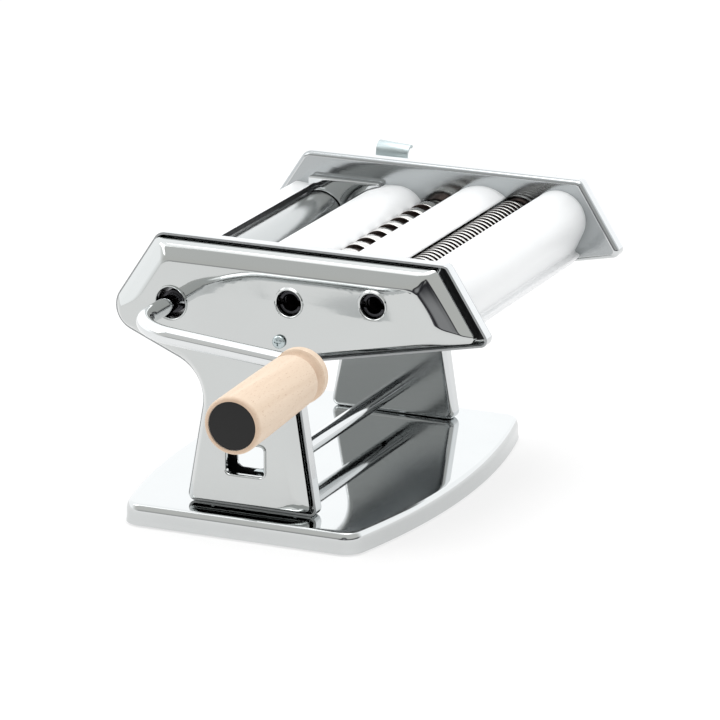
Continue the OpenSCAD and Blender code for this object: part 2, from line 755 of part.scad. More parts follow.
module wide_mate_comb() {
    color(steel) at_axis(wide_mate_y, wide_h) comb(wide_noodle, wide_rings, 1);
}
module narrow_drive_comb() {
    color(steel) at_axis(narrow_y, narrow_h) comb(narrow_noodle, narrow_rings + 1, 0);
}
module narrow_mate_comb() {
    color(steel) at_axis(narrow_mate_y, narrow_h) comb(narrow_noodle, narrow_rings, 1);
}

// Nylon bushes in the plates
module shaft_bushes() {
    inner_x = roller_end + 0.3;
    for (p = fixed_bushes) at_axis(p[0], p[1]) difference() {
        union() {
            rod_x(bush_r, inner_x, web_x);
            rod_x(bush_flange_r, web_x, web_x + bush_flange_t);
        }
        rod_x(shaft_r + run_fit, inner_x - 1, web_x + bush_flange_t + 1);
    }
}
module crank_side_bushes() {
    color(nylon) shaft_bushes();
}
module dial_side_bushes() {
    color(nylon) dial_side() shaft_bushes();
}
// Bushes of the eccentric axle: one on the crank side cover, one in the dial side plate
axle_bush_x = hub_end_x + 1.2;
module axle_bushes() {
    color(nylon) at_axis(adjust_y, pivot_h) {
        tube_x(axle_bush_r + 1, axle_journal_r + run_fit, axle_bush_x, inside_x);
        tube_x(axle_bush_r, axle_journal_r + run_fit, -web_x - bush_flange_t, -roller_end - 0.3);
    }
}

// Gear teeth: involute flanks with a straight root, tooth width s at the pitch radius
function involute(r, base_r) = r <= base_r ? 0 : sqrt(pow(r / base_r, 2) - 1) * 180 / PI - acos(base_r / r);
function gear_points(pitch_r, pressure, s, tip_r, root_r) =
    let (base_r = pitch_r * cos(pressure), low = max(root_r, base_r), steps = 5)
    let (levels = concat(root_r < base_r ? [root_r] : [],
        [for (i = [0:steps]) low + (tip_r - low) * i / steps]))
    let (half_pitch = s / (2 * pitch_r) * 180 / PI + involute(pitch_r, base_r))
    [for (k = [0:gear_teeth - 1], side = [-1, 1], i = [0:len(levels) - 1])
        let (r = levels[side < 0 ? i : len(levels) - 1 - i])
        let (a = k * 360 / gear_teeth + side * (half_pitch - involute(r, base_r)))
        r * [cos(a), sin(a)]];
module gear(pitch_r, pressure, s, tip_r, root_r, bore_r) {
    difference() {
        profile_x(gear_x, gear_end_x) polygon(gear_points(pitch_r, pressure, s, tip_r, root_r));
        rod_x(bore_r, gear_x - 1, gear_end_x + 1);
    }
}
// Turn of a follower gear that sets its gap opposite the driver's tooth
mesh_turn = gear_teeth % 2 == 0 ? 180 / gear_teeth : 0;
tooth_play = 0.34;
module sheet_gear(bore_r) {
    pitch_r = (roller_d + sheet_gap) / 2;
    pressure = 20;
    tip_r = pitch_r + sheet_travel / 2 + 0.66;
    root_r = 2 * pitch_r - sheet_travel - tip_r - clear;
    s = PI * pitch_r / gear_teeth - sheet_travel * tan(pressure) - tooth_play;
    gear(pitch_r, pressure, s, tip_r, root_r, bore_r);
}
module cutter_gear(bore_r) {
    pitch_r = cutter_step / 2;
    tooth_rise = 1.1;
    s = PI * pitch_r / gear_teeth - tooth_play;
    gear(pitch_r, 25, s, pitch_r + tooth_rise, pitch_r - tooth_rise - clear, bore_r);
}
// Socket: a sleeve with a bore for the crank rod and a slot for its cross pin
pin_r = 1.25;
pin_x = gear_end_x + pin_r + clear;
module socket() {
    slot_w = 2 * (pin_r + clear / 2);
    color(dark_steel) difference() {
        tube_x(socket_r, socket_bore_r, stub_x, socket_end_x);
        translate([pin_x - pin_r - clear, -socket_r - 1, -slot_w / 2])
            cube([socket_end_x, 2 * socket_r + 2, slot_w]);
    }
}

// Driven smooth roller with its gear and socket
module drive_roller() {
    color(chrome) at_axis(drive_y, sheet_h) {
        rod_x(roller_r, -roller_end, roller_end);
        rod_x(shaft_r, -dial_shaft_x, stub_x);
    }
}
module drive_gear() {
    color(steel) at_axis(drive_y, sheet_h) sheet_gear(socket_r + seat_fit);
}
module drive_socket() {
    at_crank() socket();
}

// Crank: one bent rod, straight at the socket, an arm and a spindle for the grip
grip_turn = 90 - grip_splay;
grip_reach = grip_bend_r * tan(grip_turn / 2);
grip_from = grip_reach + 1;
grip_end = grip_from + grip_len;
cap_t = 3;
spindle_end = grip_end - cap_t - 3;
spindle_r = rod_d / 2 - 0.1;
module at_crank() {
    at_axis(drive_y, sheet_h) rotate([-arm_drop, 0, 0]) children();
}
// Along the spindle, from the corner that it makes with the arm
module at_grip() {
    at_crank() translate([arm_x, arm_len, 0]) rotate([0, 0, grip_splay]) children();
}
module elbow(from, r, turn) {
    rotate([0, 0, from]) rotate_extrude(angle = turn) translate([r, 0]) circle(d = rod_d);
}
module crank_rod() {
    color(chrome) at_crank() difference() {
        union() {
            rod_x(rod_d / 2, stub_x + 0.6, arm_x - rod_bend_r);
            translate([arm_x - rod_bend_r, rod_bend_r, 0]) elbow(-90, rod_bend_r, 90);
            translate([arm_x, rod_bend_r, 0]) rotate([-90, 0, 0])
                cylinder(d = rod_d, h = arm_len - rod_bend_r - grip_reach);
            translate([arm_x + grip_bend_r, arm_len - grip_reach, 0]) mirror([0, 1, 0])
                elbow(180, grip_bend_r, grip_turn);
            translate([arm_x, arm_len, 0]) rotate([0, 0, grip_splay])
                rod_x(spindle_r, grip_reach - 1, spindle_end);
        }
        translate([pin_x, 0, 0]) rotate([90, 0, 0])
            cylinder(r = pin_r + seat_fit, h = rod_d + 2, center = true);
    }
}
module crank_pin() {
    color(steel) at_crank() translate([pin_x, 0, 0]) rotate([90, 0, 0])
        cylinder(r = pin_r, h = 2 * (socket_r - 0.1), center = true);
}
// Turned grip: a collar, a groove, a body that swells towards the free end and a rounded end
module grip() {
    body_r = grip_d / 2;
    neck = grip_neck_d / 2;
    collar = collar_d / 2;
    edge_r = 2;
    round_r = body_r - cap_d / 2 - 0.3;
    cove_rim = min(collar, neck) - 0.4;
    cove_r = (pow(cove_w / 2, 2) + pow(cove_depth, 2)) / (2 * cove_depth);
    cove_half = asin(min(1, cove_w / 2 / cove_r));
    cove_centre = [cove_rim - cove_depth + cove_r, collar_w + cove_w / 2];
    body_from = collar_w + cove_w;
    body_len = grip_len - body_from - round_r;
    outline = concat(
        [[0, 0]],
        arc([collar - edge_r, edge_r], edge_r, -90, 0, 6),
        [[collar, collar_w - 1]],
        arc(cove_centre, cove_r, 180 + cove_half, 180 - cove_half, 8),
        [for (s = [0:1 / 8:7 / 8]) [neck + (body_r - neck) * sin(s * 90), body_from + 1 + (body_len - 1) * s]],
        arc([body_r - round_r, grip_len - round_r], round_r, 0, 90, 6),
        [[0, grip_len]]
    );
    color(beech) at_grip() difference() {
        translate([grip_from, 0, 0]) rotate([0, 90, 0]) rotate_extrude() polygon(outline);
        rod_x(spindle_r + slide_fit, grip_from - 1, spindle_end + 0.5);
        rod_x(cap_d / 2 + seat_fit, grip_end - cap_t, grip_end + 1);
    }
}
module grip_cap() {
    color(black_plastic) at_grip() rod_x(cap_d / 2, grip_end - cap_t, grip_end - 0.4);
}

// Eccentric axle through the adjustable roller, turned by the thickness lever
lever_x = face_x + 2.2;
nut_x = lever_x + lever_t;
module eccentric_axle() {
    color(steel) {
        at_axis(adjust_y, sheet_h) rod_x(axle_r, -roller_end + 1, hub_end_x + 0.4);
        at_axis(adjust_y, pivot_h) {
            rod_x(axle_journal_r, hub_end_x + 0.4, inside_x - clear);
            rod_x(axle_journal_r, -nut_x - nut_t - 0.8, -roller_end + 1);
        }
    }
}
module at_lever() {
    at_axis(adjust_y, pivot_h) rotate([-lever_lean, 0, 0]) children();
}
// Lever: a strip with a round foot on the axle, its tip curled away from the cover
module thickness_lever() {
    strip_top = lever_reach - lever_curl_r - lever_t;
    index_pin_r = index_hole_r - clear;
    color(zinc) at_lever() dial_side() {
        difference() {
            union() {
                rod_x(lever_w / 2, lever_x, nut_x);
                translate([lever_x, -lever_w / 2, 0]) cube([lever_t, lever_w, strip_top]);
                translate([lever_x + lever_t + lever_curl_r, lever_w / 2, strip_top]) rotate([90, 0, 0])
                    lever_curl();
                translate([0, 0, index_r]) rod_x(index_pin_r, face_x + clear, lever_x);
            }
            rod_x(axle_journal_r + seat_fit, lever_x - 1, nut_x + 1);
            translate([0, -3.5, lever_reach - 8.5]) rod_x(1.2, lever_x - 1, nut_x + 1);
        }
    }
}
// Quarter and a bit of a rolled sheet, as wide as the lever
module lever_curl() {
    outer = lever_curl_r + lever_t;
    linear_extrude(lever_w)
        polygon(concat(arc([0, 0], outer, 180, 50, 16), arc([0, 0], lever_curl_r, 50, 180, 16)));
}
module lever_washer() {
    color(zinc) dial_side() at_axis(adjust_y, pivot_h)
        tube_x(axle_bush_r + 1, axle_journal_r + seat_fit, face_x + 0.3, lever_x);
}
module lever_nut() {
    color(zinc) dial_side() at_lever() difference() {
        hex_x(axle_journal_r * 1.85, nut_x, nut_x + nut_t);
        rod_x(axle_journal_r + seat_fit, nut_x - 1, nut_x + nut_t + 1);
    }
}

// Adjustable roller: a tube on two nylon sleeves, with a hub through the plate for its gear
module adjust_bearings() {
    color(nylon) at_axis(adjust_y, sheet_h) for (side = [0, 1]) mirror([side, 0, 0])
        tube_x(sleeve_r, sleeve_bore_r, roller_end - sleeve_len, roller_end - 1);
}
module adjust_roller() {
    middle_bore = hub_r - hub_wall;
    color(chrome) at_axis(adjust_y, sheet_h) difference() {
        union() {
            rod_x(roller_r, -roller_end, roller_end);
            rod_x(hub_r, roller_end, hub_end_x);
        }
        rod_x(middle_bore, -roller_end - 1, hub_end_x + 1);
        rod_x(sleeve_r + run_fit, -roller_end - 1, -roller_end + sleeve_len + clear);
        rod_x(sleeve_r + run_fit, roller_end - sleeve_len - clear, roller_end - 1 + clear);
    }
}
module adjust_gear() {
    color(steel) at_axis(adjust_y, sheet_h) rotate([mesh_turn, 0, 0]) sheet_gear(hub_r + seat_fit);
}

// Wide cutter pair
module wide_drive_cutter() {
    color(chrome) at_axis(wide_y, wide_h) cutter(wide_noodle, wide_rings, stub_x);
}
module wide_drive_gear() {
    color(steel) at_axis(wide_y, wide_h) cutter_gear(socket_r + seat_fit);
}
module wide_socket() {
    at_axis(wide_y, wide_h) socket();
}
module wide_mate_cutter() {
    color(chrome) at_axis(wide_mate_y, wide_h) cutter(wide_noodle, wide_rings + 1, mate_end_x);
}
module wide_mate_gear() {
    color(steel) at_axis(wide_mate_y, wide_h) rotate([mesh_turn, 0, 0]) cutter_gear(shaft_r + seat_fit);
}

// Narrow cutter pair
module narrow_drive_cutter() {
    color(chrome) at_axis(narrow_y, narrow_h) cutter(narrow_noodle, narrow_rings, stub_x);
}
module narrow_drive_gear() {
    color(steel) at_axis(narrow_y, narrow_h) cutter_gear(socket_r + seat_fit);
}
module narrow_socket() {
    at_axis(narrow_y, narrow_h) socket();
}
module narrow_mate_cutter() {
    color(chrome) at_axis(narrow_mate_y, narrow_h)
        cutter(narrow_noodle, narrow_rings + 1, mate_end_x);
}
module narrow_mate_gear() {
    color(steel) at_axis(narrow_mate_y, narrow_h) rotate([mesh_turn, 0, 0]) cutter_gear(shaft_r + seat_fit);
}

base_plate();
rubber_feet();
crank_side_plate();
dial_side_plate();
crank_side_cover();
dial_side_cover();
tie_rods();
tie_rod_nuts();
cover_posts();
cover_screws();
base_screws();
front_guard();
roller_guard();
cutter_guard();
rear_guard();
dough_guides();
drive_scraper();
adjust_scraper();
wide_drive_comb();
wide_mate_comb();
narrow_drive_comb();
narrow_mate_comb();
crank_side_bushes();
dial_side_bushes();
axle_bushes();
drive_roller();
drive_gear();
drive_socket();
crank_rod();
crank_pin();
grip();
grip_cap();
eccentric_axle();
thickness_lever();
lever_washer();
lever_nut();
adjust_bearings();
adjust_roller();
adjust_gear();
wide_drive_cutter();
wide_drive_gear();
wide_socket();
wide_mate_cutter();
wide_mate_gear();
narrow_drive_cutter();
narrow_drive_gear();
narrow_socket();
narrow_mate_cutter();
narrow_mate_gear();
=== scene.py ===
from math import acos, asin, atan2, cos, pi, radians, sin, sqrt, tan

import bmesh
import bpy
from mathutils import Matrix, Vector
from mathutils.geometry import delaunay_2d_cdt


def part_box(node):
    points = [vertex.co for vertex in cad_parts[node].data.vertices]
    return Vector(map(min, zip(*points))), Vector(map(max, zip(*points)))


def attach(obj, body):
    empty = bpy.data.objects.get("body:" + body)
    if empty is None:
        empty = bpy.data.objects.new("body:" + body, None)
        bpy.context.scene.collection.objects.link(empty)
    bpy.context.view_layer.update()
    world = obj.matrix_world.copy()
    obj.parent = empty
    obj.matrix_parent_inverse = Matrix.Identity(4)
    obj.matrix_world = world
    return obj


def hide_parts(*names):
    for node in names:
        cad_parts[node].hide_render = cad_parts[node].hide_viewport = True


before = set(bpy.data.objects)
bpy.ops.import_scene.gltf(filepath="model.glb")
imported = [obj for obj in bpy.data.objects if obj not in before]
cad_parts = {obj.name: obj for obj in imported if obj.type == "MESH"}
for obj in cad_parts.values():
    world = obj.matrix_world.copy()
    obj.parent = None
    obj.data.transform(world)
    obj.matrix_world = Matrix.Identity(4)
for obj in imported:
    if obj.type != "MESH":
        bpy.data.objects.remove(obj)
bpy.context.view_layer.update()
scene = bpy.context.scene
scene.view_settings.view_transform = "Standard"

# Camera
# A long lens from the crank side, a little above the head, fitted to the photograph's frame.
CAMERA_TARGET = Vector((0.0, 0.01703, 0.06129))
CAMERA_AZIMUTH = radians(23.97)
CAMERA_ELEVATION = radians(16.86)
CAMERA_DISTANCE = 2.43475
CAMERA_LENS = 259.0
camera_data = bpy.data.cameras.new("camera")
camera_data.sensor_width = 36.0
camera_data.lens = CAMERA_LENS
camera = bpy.data.objects.new("camera", camera_data)
scene.collection.objects.link(camera)
camera_way = Vector((
    cos(CAMERA_ELEVATION) * cos(CAMERA_AZIMUTH),
    cos(CAMERA_ELEVATION) * sin(CAMERA_AZIMUTH),
    sin(CAMERA_ELEVATION),
))
camera.location = CAMERA_TARGET + CAMERA_DISTANCE * camera_way
camera.rotation_euler = (-camera_way).to_track_quat("-Z", "Y").to_euler()
scene.camera = camera


# Studio
# A white sweep under soft boxes: the room is pale, with a darker band at eye level behind the camera
# that bright metal picks up. The floor is a plain pale sheet.
def add_node(tree, kind, inputs=None, **settings):
    """A node of a tree; inputs maps its sockets to values or to the sockets that feed them."""
    node = tree.nodes.new(kind)
    for key, value in settings.items():
        setattr(node, key, value)
    for key, value in (inputs or {}).items():
        if isinstance(value, bpy.types.NodeSocket):
            tree.links.new(value, node.inputs[key])
        else:
            node.inputs[key].default_value = value
    return node


def math_node(tree, kind, operation, *values):
    """The outputs of a Math or Vector Math node over values or sockets."""
    return add_node(tree, kind, dict(enumerate(values)), operation=operation).outputs


def add_range(tree, value, low, high, to=(0.0, 1.0), **settings):
    """Where a value stands between two limits, spread over another range."""
    inputs = {"Value": value, "From Min": low, "From Max": high, "To Min": to[0], "To Max": to[1]}
    return add_node(tree, "ShaderNodeMapRange", inputs, **settings).outputs[0]


def add_ramp(tree, share, stops, interpolation="LINEAR"):
    """A colour ramp over a share; stops are (place, colour) pairs in order."""
    node = add_node(tree, "ShaderNodeValToRGB", {"Fac": share})
    ramp = node.color_ramp
    ramp.interpolation = interpolation
    while len(ramp.elements) < len(stops):
        ramp.elements.new(0.5)
    for element, (at, colour) in zip(ramp.elements, stops):
        element.position = at
        element.color = (*colour, 1.0)
    return node.outputs["Color"]


def add_mix(tree, share, a, b):
    """A colour between two; each is a colour with its alpha or a socket."""
    inputs = {"Factor": share, "A": a, "B": b}
    return add_node(tree, "ShaderNodeMix", inputs, data_type="RGBA").outputs["Result"]


def new_material(name):
    """A material with an emptied tree, and the tree."""
    material = bpy.data.materials.new(name)
    material.use_nodes = True
    material.node_tree.nodes.clear()
    return material, material.node_tree


ROOM_HIGH = 2.1
ROOM_BACK = 1.42
ROOM_PALE = 0.72
ROOM_DARK = 0.08
PLAIN_LIGHT = 0.80
SIDE_TURN = (radians(-8.0), radians(-40.0))
BACK_FADE = (-0.15, 0.35)
STAND_AT = (radians(14.0), radians(6.0))
STAND_HALF = (radians(15.0), radians(9.5))
STAND_FADE = (1.12, 0.88)
STAND_TONES = [(0.25, (0.34, 0.34, 0.35)), (0.85, (0.03, 0.03, 0.035))]
scene.world = bpy.data.worlds.new("studio")
scene.world.use_nodes = True
tree = scene.world.node_tree
tree.nodes.clear()
way = add_node(tree, "ShaderNodeTexCoord").outputs["Generated"]
split = add_node(tree, "ShaderNodeSeparateXYZ", {0: way}).outputs
rise = add_range(tree, split["Z"], -1.0, 1.0)
room_sides = []
for low, eye_level in (
    ((0.85, 0.86, 0.86), (ROOM_DARK, ROOM_DARK, 0.09)),
    ((0.92, 0.93, 0.93), (0.80, 0.81, 0.80)),
):
    room_sides.append(add_ramp(tree, rise, [
        (0.40, low), (0.485, eye_level), (0.52, eye_level), (0.585, (ROOM_PALE, ROOM_PALE, 0.97 * ROOM_PALE)),
        (0.87, (0.73, 0.74, 0.73)), (0.94, (ROOM_HIGH, ROOM_HIGH, ROOM_HIGH)),
    ], "EASE"))
turn = math_node(tree, "ShaderNodeMath", "ARCTAN2", split["Y"], split["X"])[0]
towards = add_mix(tree, add_range(tree, turn, *SIDE_TURN), *room_sides)
# The side away from the camera is all white, as the sweep is
camera_side = (cos(CAMERA_AZIMUTH), sin(CAMERA_AZIMUTH), 0.0)
facing = math_node(tree, "ShaderNodeVectorMath", "DOT_PRODUCT", way, camera_side)["Value"]
back_tone = (ROOM_BACK, 1.01 * ROOM_BACK, 1.02 * ROOM_BACK, 1.0)
room = add_mix(tree, add_range(tree, facing, *BACK_FADE), back_tone, towards)
# The dark camera and its stand, an oval patch that a bevel which faces it picks up
lift_angle = math_node(tree, "ShaderNodeMath", "ARCSINE", split["Z"])[0]
shares = {}
for angle, socket, middle, half in zip((turn, lift_angle), ("X", "Y"), STAND_AT, STAND_HALF):
    shares[socket] = add_range(tree, angle, middle, middle + half, clamp=False)
oval = add_node(tree, "ShaderNodeCombineXYZ", shares).outputs[0]
from_stand = math_node(tree, "ShaderNodeVectorMath", "LENGTH", oval)["Value"]
stand_share = add_range(tree, from_stand, *STAND_FADE, interpolation_type="SMOOTHSTEP")
with_stand = add_mix(tree, stand_share, room, add_ramp(tree, from_stand, STAND_TONES, "EASE"))
lit = add_node(tree, "ShaderNodeBackground", {"Color": (1.0, 1.0, 1.0, 1.0), "Strength": PLAIN_LIGHT}).outputs[0]
ray = add_node(tree, "ShaderNodeLightPath").outputs
for kind, inputs in (("Is Glossy Ray", {"Color": with_stand}), ("Is Camera Ray", {"Strength": 1.0})):
    seen = add_node(tree, "ShaderNodeBackground", inputs).outputs[0]
    lit = add_node(tree, "ShaderNodeMixShader", {0: ray[kind], 1: lit, 2: seen}).outputs[0]
add_node(tree, "ShaderNodeOutputWorld", {"Surface": lit})

FLOOR_HALF = 1.6
FLOOR_LIFT = 0.66
FLOOR_TONE = (0.36, 0.36, 0.36, 1.0)
floor_mesh = bpy.data.meshes.new("floor")
floor_mesh.from_pydata(
    [(x * FLOOR_HALF, y * FLOOR_HALF, 0.0) for x, y in ((-1, -1), (1, -1), (1, 1), (-1, 1))],
    [], [(0, 1, 2, 3)],
)
floor = bpy.data.objects.new("floor", floor_mesh)
scene.collection.objects.link(floor)
paper, tree = new_material("white_paper")
matt = add_node(tree, "ShaderNodeBsdfDiffuse", {"Color": FLOOR_TONE}).outputs[0]
lift = add_node(tree, "ShaderNodeEmission", {"Strength": FLOOR_LIFT}).outputs[0]
both = add_node(tree, "ShaderNodeAddShader", {0: matt, 1: lift}).outputs[0]
add_node(tree, "ShaderNodeOutputMaterial", {"Surface": both})
floor_mesh.materials.append(paper)


def soft_box(name, place, target, size, power):
    """A square area lamp turned towards a point."""
    lamp = bpy.data.lights.new(name, "AREA")
    lamp.size = size
    lamp.energy = power
    holder = bpy.data.objects.new(name, lamp)
    holder.location = place
    holder.rotation_euler = (Vector(target) - Vector(place)).to_track_quat("-Z", "Y").to_euler()
    scene.collection.objects.link(holder)


soft_box("overhead_box", (-0.1, 0.1, 1.5), (0.0, 0.0, 0.1), 1.2, 12.0)
soft_box("key_box", (0.7, -1.1, 1.0), (0.05, 0.0, 0.08), 0.8, 3.5)


# Base tray
# One pressed steel sheet with bowed long sides and a drafted upper edge, open below, bright chrome plated.
# It carries the side plates, which are screwed on from below.
def tinted(colour, share):
    """A colour made darker or lighter by a share, with its alpha."""
    return (*[min(1.0, share * c) for c in colour], 1.0)


def grain(tree, place, scale, detail, distortion=0.0):
    """Noise over a place; a scale with three numbers stretches it along the axes."""
    if isinstance(scale, tuple):
        place = add_node(tree, "ShaderNodeMapping", {"Vector": place, "Scale": scale}).outputs[0]
        scale = 1.0
    inputs = {"Vector": place, "Scale": scale, "Detail": detail, "Distortion": distortion}
    return add_node(tree, "ShaderNodeTexNoise", inputs).outputs["Fac"]


def coated(material, inputs):
    """Ends a material's tree with a Principled shader that has these inputs."""
    shader = add_node(material.node_tree, "ShaderNodeBsdfPrincipled", inputs)
    add_node(material.node_tree, "ShaderNodeOutputMaterial", {"Surface": shader.outputs[0]})
    return material


def chrome_plate(name, colour, roughness, wave=0.0, metal=1.0):
    """Bright plating: faint wiping marks in the gloss, and the slight waviness of pressed sheet."""
    material, tree = new_material(name)
    place = add_node(tree, "ShaderNodeTexCoord").outputs["Object"]
    clouds = grain(tree, place, 35.0, 4.0)
    wipes = grain(tree, place, (900.0, 60.0, 900.0), 3.0)
    inputs = {
        "Metallic": metal,
        "Base Color": add_mix(tree, clouds, tinted(colour, 0.97), tinted(colour, 1.03)),
        "Roughness": add_range(tree, wipes, 0.0, 1.0, (roughness * 0.7, roughness * 1.5)),
    }
    if wave:
        bump = {"Height": grain(tree, place, 22.0, 1.0), "Strength": 1.0, "Distance": wave}
        inputs["Normal"] = add_node(tree, "ShaderNodeBump", bump).outputs[0]
    return coated(material, inputs)


def arc(centre, radius, start, end, steps):
    """Points of a circular arc in a plane, angles in radians."""
    turns = [start + (end - start) * i / steps for i in range(steps + 1)]
    return [(centre[0] + radius * cos(a), centre[1] + radius * sin(a)) for a in turns]


def skin(rings, cap=True):
    """Points and faces of a sheet through closed rings of points, with a face over the last ring."""
    count = len(rings[0])
    points = [p for ring in rings for p in ring]
    faces = []
    for k in range(len(rings) - 1):
        for i in range(count):
            j = (i + 1) % count
            faces.append((k * count + i, k * count + j, (k + 1) * count + j, (k + 1) * count + i))
    if cap:
        faces.append([(len(rings) - 1) * count + i for i in range(count)])
    return points, faces


def bake(piece, sharp):
    """Turns a piece's modifiers into its mesh and shades it smooth, apart from edges over an angle."""
    if piece.modifiers:
        bpy.context.view_layer.update()
        seen = piece.evaluated_get(bpy.context.evaluated_depsgraph_get())
        solid = bpy.data.meshes.new_from_object(seen)
        piece.modifiers.clear()
        piece.data = solid
    piece.data.shade_smooth()
    piece.data.set_sharp_from_angle(angle=sharp)


def finish_piece(name, points, faces, material, sharp=radians(35), sheet=0.0, edge=0.0, outward=None):
    """A smooth shaded piece from points and faces. sheet gives an open skin its thickness inwards.

    outward is a face number and the way that it looks, and turns a skin that was made inside out."""
    mesh = bpy.data.meshes.new(name)
    mesh.from_pydata(points, [], faces)
    mesh.materials.append(material)
    shell = bmesh.new()
    shell.from_mesh(mesh)
    if outward:
        shell.faces.ensure_lookup_table()
        shell.normal_update()
        if shell.faces[outward[0]].normal.dot(Vector(outward[1])) < 0.0:
            bmesh.ops.reverse_faces(shell, faces=shell.faces)
    bmesh.ops.remove_doubles(shell, verts=shell.verts, dist=1e-7)
    if not outward:
        bmesh.ops.recalc_face_normals(shell, faces=shell.faces)
    shell.to_mesh(mesh)
    shell.free()
    piece = bpy.data.objects.new(name, mesh)
    scene.collection.objects.link(piece)
    if sheet:
        wall = piece.modifiers.new("sheet", "SOLIDIFY")
        wall.thickness = sheet
        wall.offset = -1.0
        wall.use_even_offset = True
    if edge:
        soft_edge = piece.modifiers.new("edge", "BEVEL")
        soft_edge.width = edge
        soft_edge.segments = 2
        soft_edge.limit_method = "ANGLE"
        soft_edge.angle_limit = radians(50)
    bake(piece, sharp)
    piece.data.name = name
    return piece


def stand_for(piece, body, replaced):
    """The piece rides on a body and stands for a CAD node, which is hidden."""
    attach(piece, body)
    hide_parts(replaced)


base_low, base_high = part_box("base_plate")
BASE_SHEET = 0.0012
BASE_END_HALF = 0.058
BASE_CORNER = 0.010
BASE_SWELL = 0.009
BASE_TURN = radians(24)
BASE_EDGE = 0.0016
BASE_WAIST = 0.00035
# Height over the lower edge against share of the waist, up to the swell
BASE_WALL = [(0.0, 0.0), (0.0006, 0.10), (0.0018, 0.75), (0.0030, 1.0)]
BASE_FLAT = 0.002
bow_rise = base_high.y - BASE_END_HALF
bow_radius = (base_high.x ** 2 + bow_rise ** 2) / (2 * bow_rise)
bow_centre = base_high.y - bow_radius
corner_x = base_high.x - BASE_CORNER
corner_y = bow_centre + sqrt((bow_radius - BASE_CORNER) ** 2 - corner_x ** 2)
bow_from = atan2(corner_y - bow_centre, corner_x)


def base_ring(inset, z):
    """The base's outline, moved in by an inset, at a height."""
    quarter = arc((corner_x, corner_y), BASE_CORNER - inset, 0.0, bow_from, 20)
    quarter += arc((0.0, bow_centre), bow_radius - inset, bow_from, pi / 2, 40)[1:]
    left = [(-x, y) for x, y in reversed(quarter[:-1])]
    upper = quarter + left
    return [(x, y, z) for x, y in upper] + [(-x, -y, z) for x, y in upper]


base_chrome = chrome_plate("base_chrome", (0.60, 0.615, 0.615), 0.035, 0.00003)
base_rings = [base_ring(BASE_WAIST * share, base_low.z + rise) for rise, share in BASE_WALL]
swell_high = base_high.z - BASE_EDGE * (1.0 - sin(BASE_TURN))
for a in [BASE_TURN * i / 8 for i in range(9)]:
    base_rings.append(base_ring(BASE_WAIST + BASE_SWELL * (1.0 - cos(a)),
                                swell_high - BASE_SWELL * (sin(BASE_TURN) - sin(a))))
swell_inset = BASE_WAIST + BASE_SWELL * (1.0 - cos(BASE_TURN))
for a in [BASE_TURN + (pi / 2 - BASE_TURN) * i / 14 for i in range(1, 15)]:
    base_rings.append(base_ring(swell_inset + BASE_EDGE * (cos(BASE_TURN) - cos(a)),
                                base_high.z - BASE_EDGE * (1.0 - sin(a))))
base_rings.append(base_ring(swell_inset + BASE_EDGE * cos(BASE_TURN) + BASE_FLAT, base_high.z))
points, faces = skin(base_rings)
base = finish_piece("base_tray", points, faces, base_chrome, sheet=BASE_SHEET,
                    outward=(len(faces) - 1, (0, 0, 1)))
stand_for(base, "frame", "base_plate")

# Rubber feet
# Four moulded rubber buttons under the corners of the tray, pushed up against its underside.
FOOT_RADIUS = 0.008
FOOT_EDGE = 0.0008


def turned(outline, place, steps=64):
    """Points and faces of a shape turned about an axis along X; outline is (x, radius) pairs."""
    rings = []
    for i in range(steps):
        a = 2 * pi * i / steps
        rings.append([(place[0] + x, place[1] + r * cos(a), place[2] + r * sin(a)) for x, r in outline])
    points, faces = [p for ring in rings for p in ring], []
    count = len(outline)
    for i in range(steps):
        j = (i + 1) % steps
        for k in range(count - 1):
            faces.append((i * count + k, i * count + k + 1, j * count + k + 1, j * count + k))
    for k, radius in ((0, outline[0][1]), (count - 1, outline[-1][1])):
        if radius > 1e-6:
            faces.append([i * count + k for i in range(steps)])
    return points, faces


def joined(shapes):
    """Points and faces of several shapes as one."""
    points, faces = [], []
    for more, own in shapes:
        start = len(points)
        points += more
        faces += [[start + i for i in face] for face in own]
    return points, faces


def speckled(name, colour, spread, roughness, scale, depth, shine=0.5):
    """A moulded or matt surface: colour and gloss vary with a fine grain that also stands up a little."""
    material, tree = new_material(name)
    grit = grain(tree, add_node(tree, "ShaderNodeTexCoord").outputs["Object"], scale, 5.0)
    return coated(material, {
        "Specular IOR Level": shine,
        "Base Color": add_mix(tree, grit, tinted(colour, 1.0 - spread), tinted(colour, 1.0 + spread)),
        "Roughness": add_range(tree, grit, 0.0, 1.0, (roughness * 0.85, min(1.0, roughness * 1.15))),
        "Normal": add_node(tree, "ShaderNodeBump", {"Height": grit, "Distance": depth}).outputs[0],
    })


foot_rubber = speckled("foot_rubber", (0.03, 0.03, 0.032), 0.25, 0.7, 900.0, 0.00008)
feet_low, feet_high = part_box("rubber_feet")
foot_outline = [(feet_low.z, 0.0)]
foot_outline += [(feet_low.z + FOOT_EDGE * (1 - cos(radians(15 * i))),
                  FOOT_RADIUS - FOOT_EDGE * (1 - sin(radians(15 * i)))) for i in range(7)]
foot_outline += [(feet_high.z, FOOT_RADIUS), (feet_high.z, 0.0)]
foot_points, foot_faces = turned(foot_outline, (0.0, 0.0, 0.0), 48)
four_feet = []
for x in (feet_low.x + FOOT_RADIUS, feet_high.x - FOOT_RADIUS):
    for y in (feet_low.y + FOOT_RADIUS, feet_high.y - FOOT_RADIUS):
        four_feet.append(([(x + b, y + c, a) for a, b, c in foot_points], foot_faces))
feet = finish_piece("rubber_feet_round", *joined(four_feet), foot_rubber)
stand_for(feet, "frame", "rubber_feet")

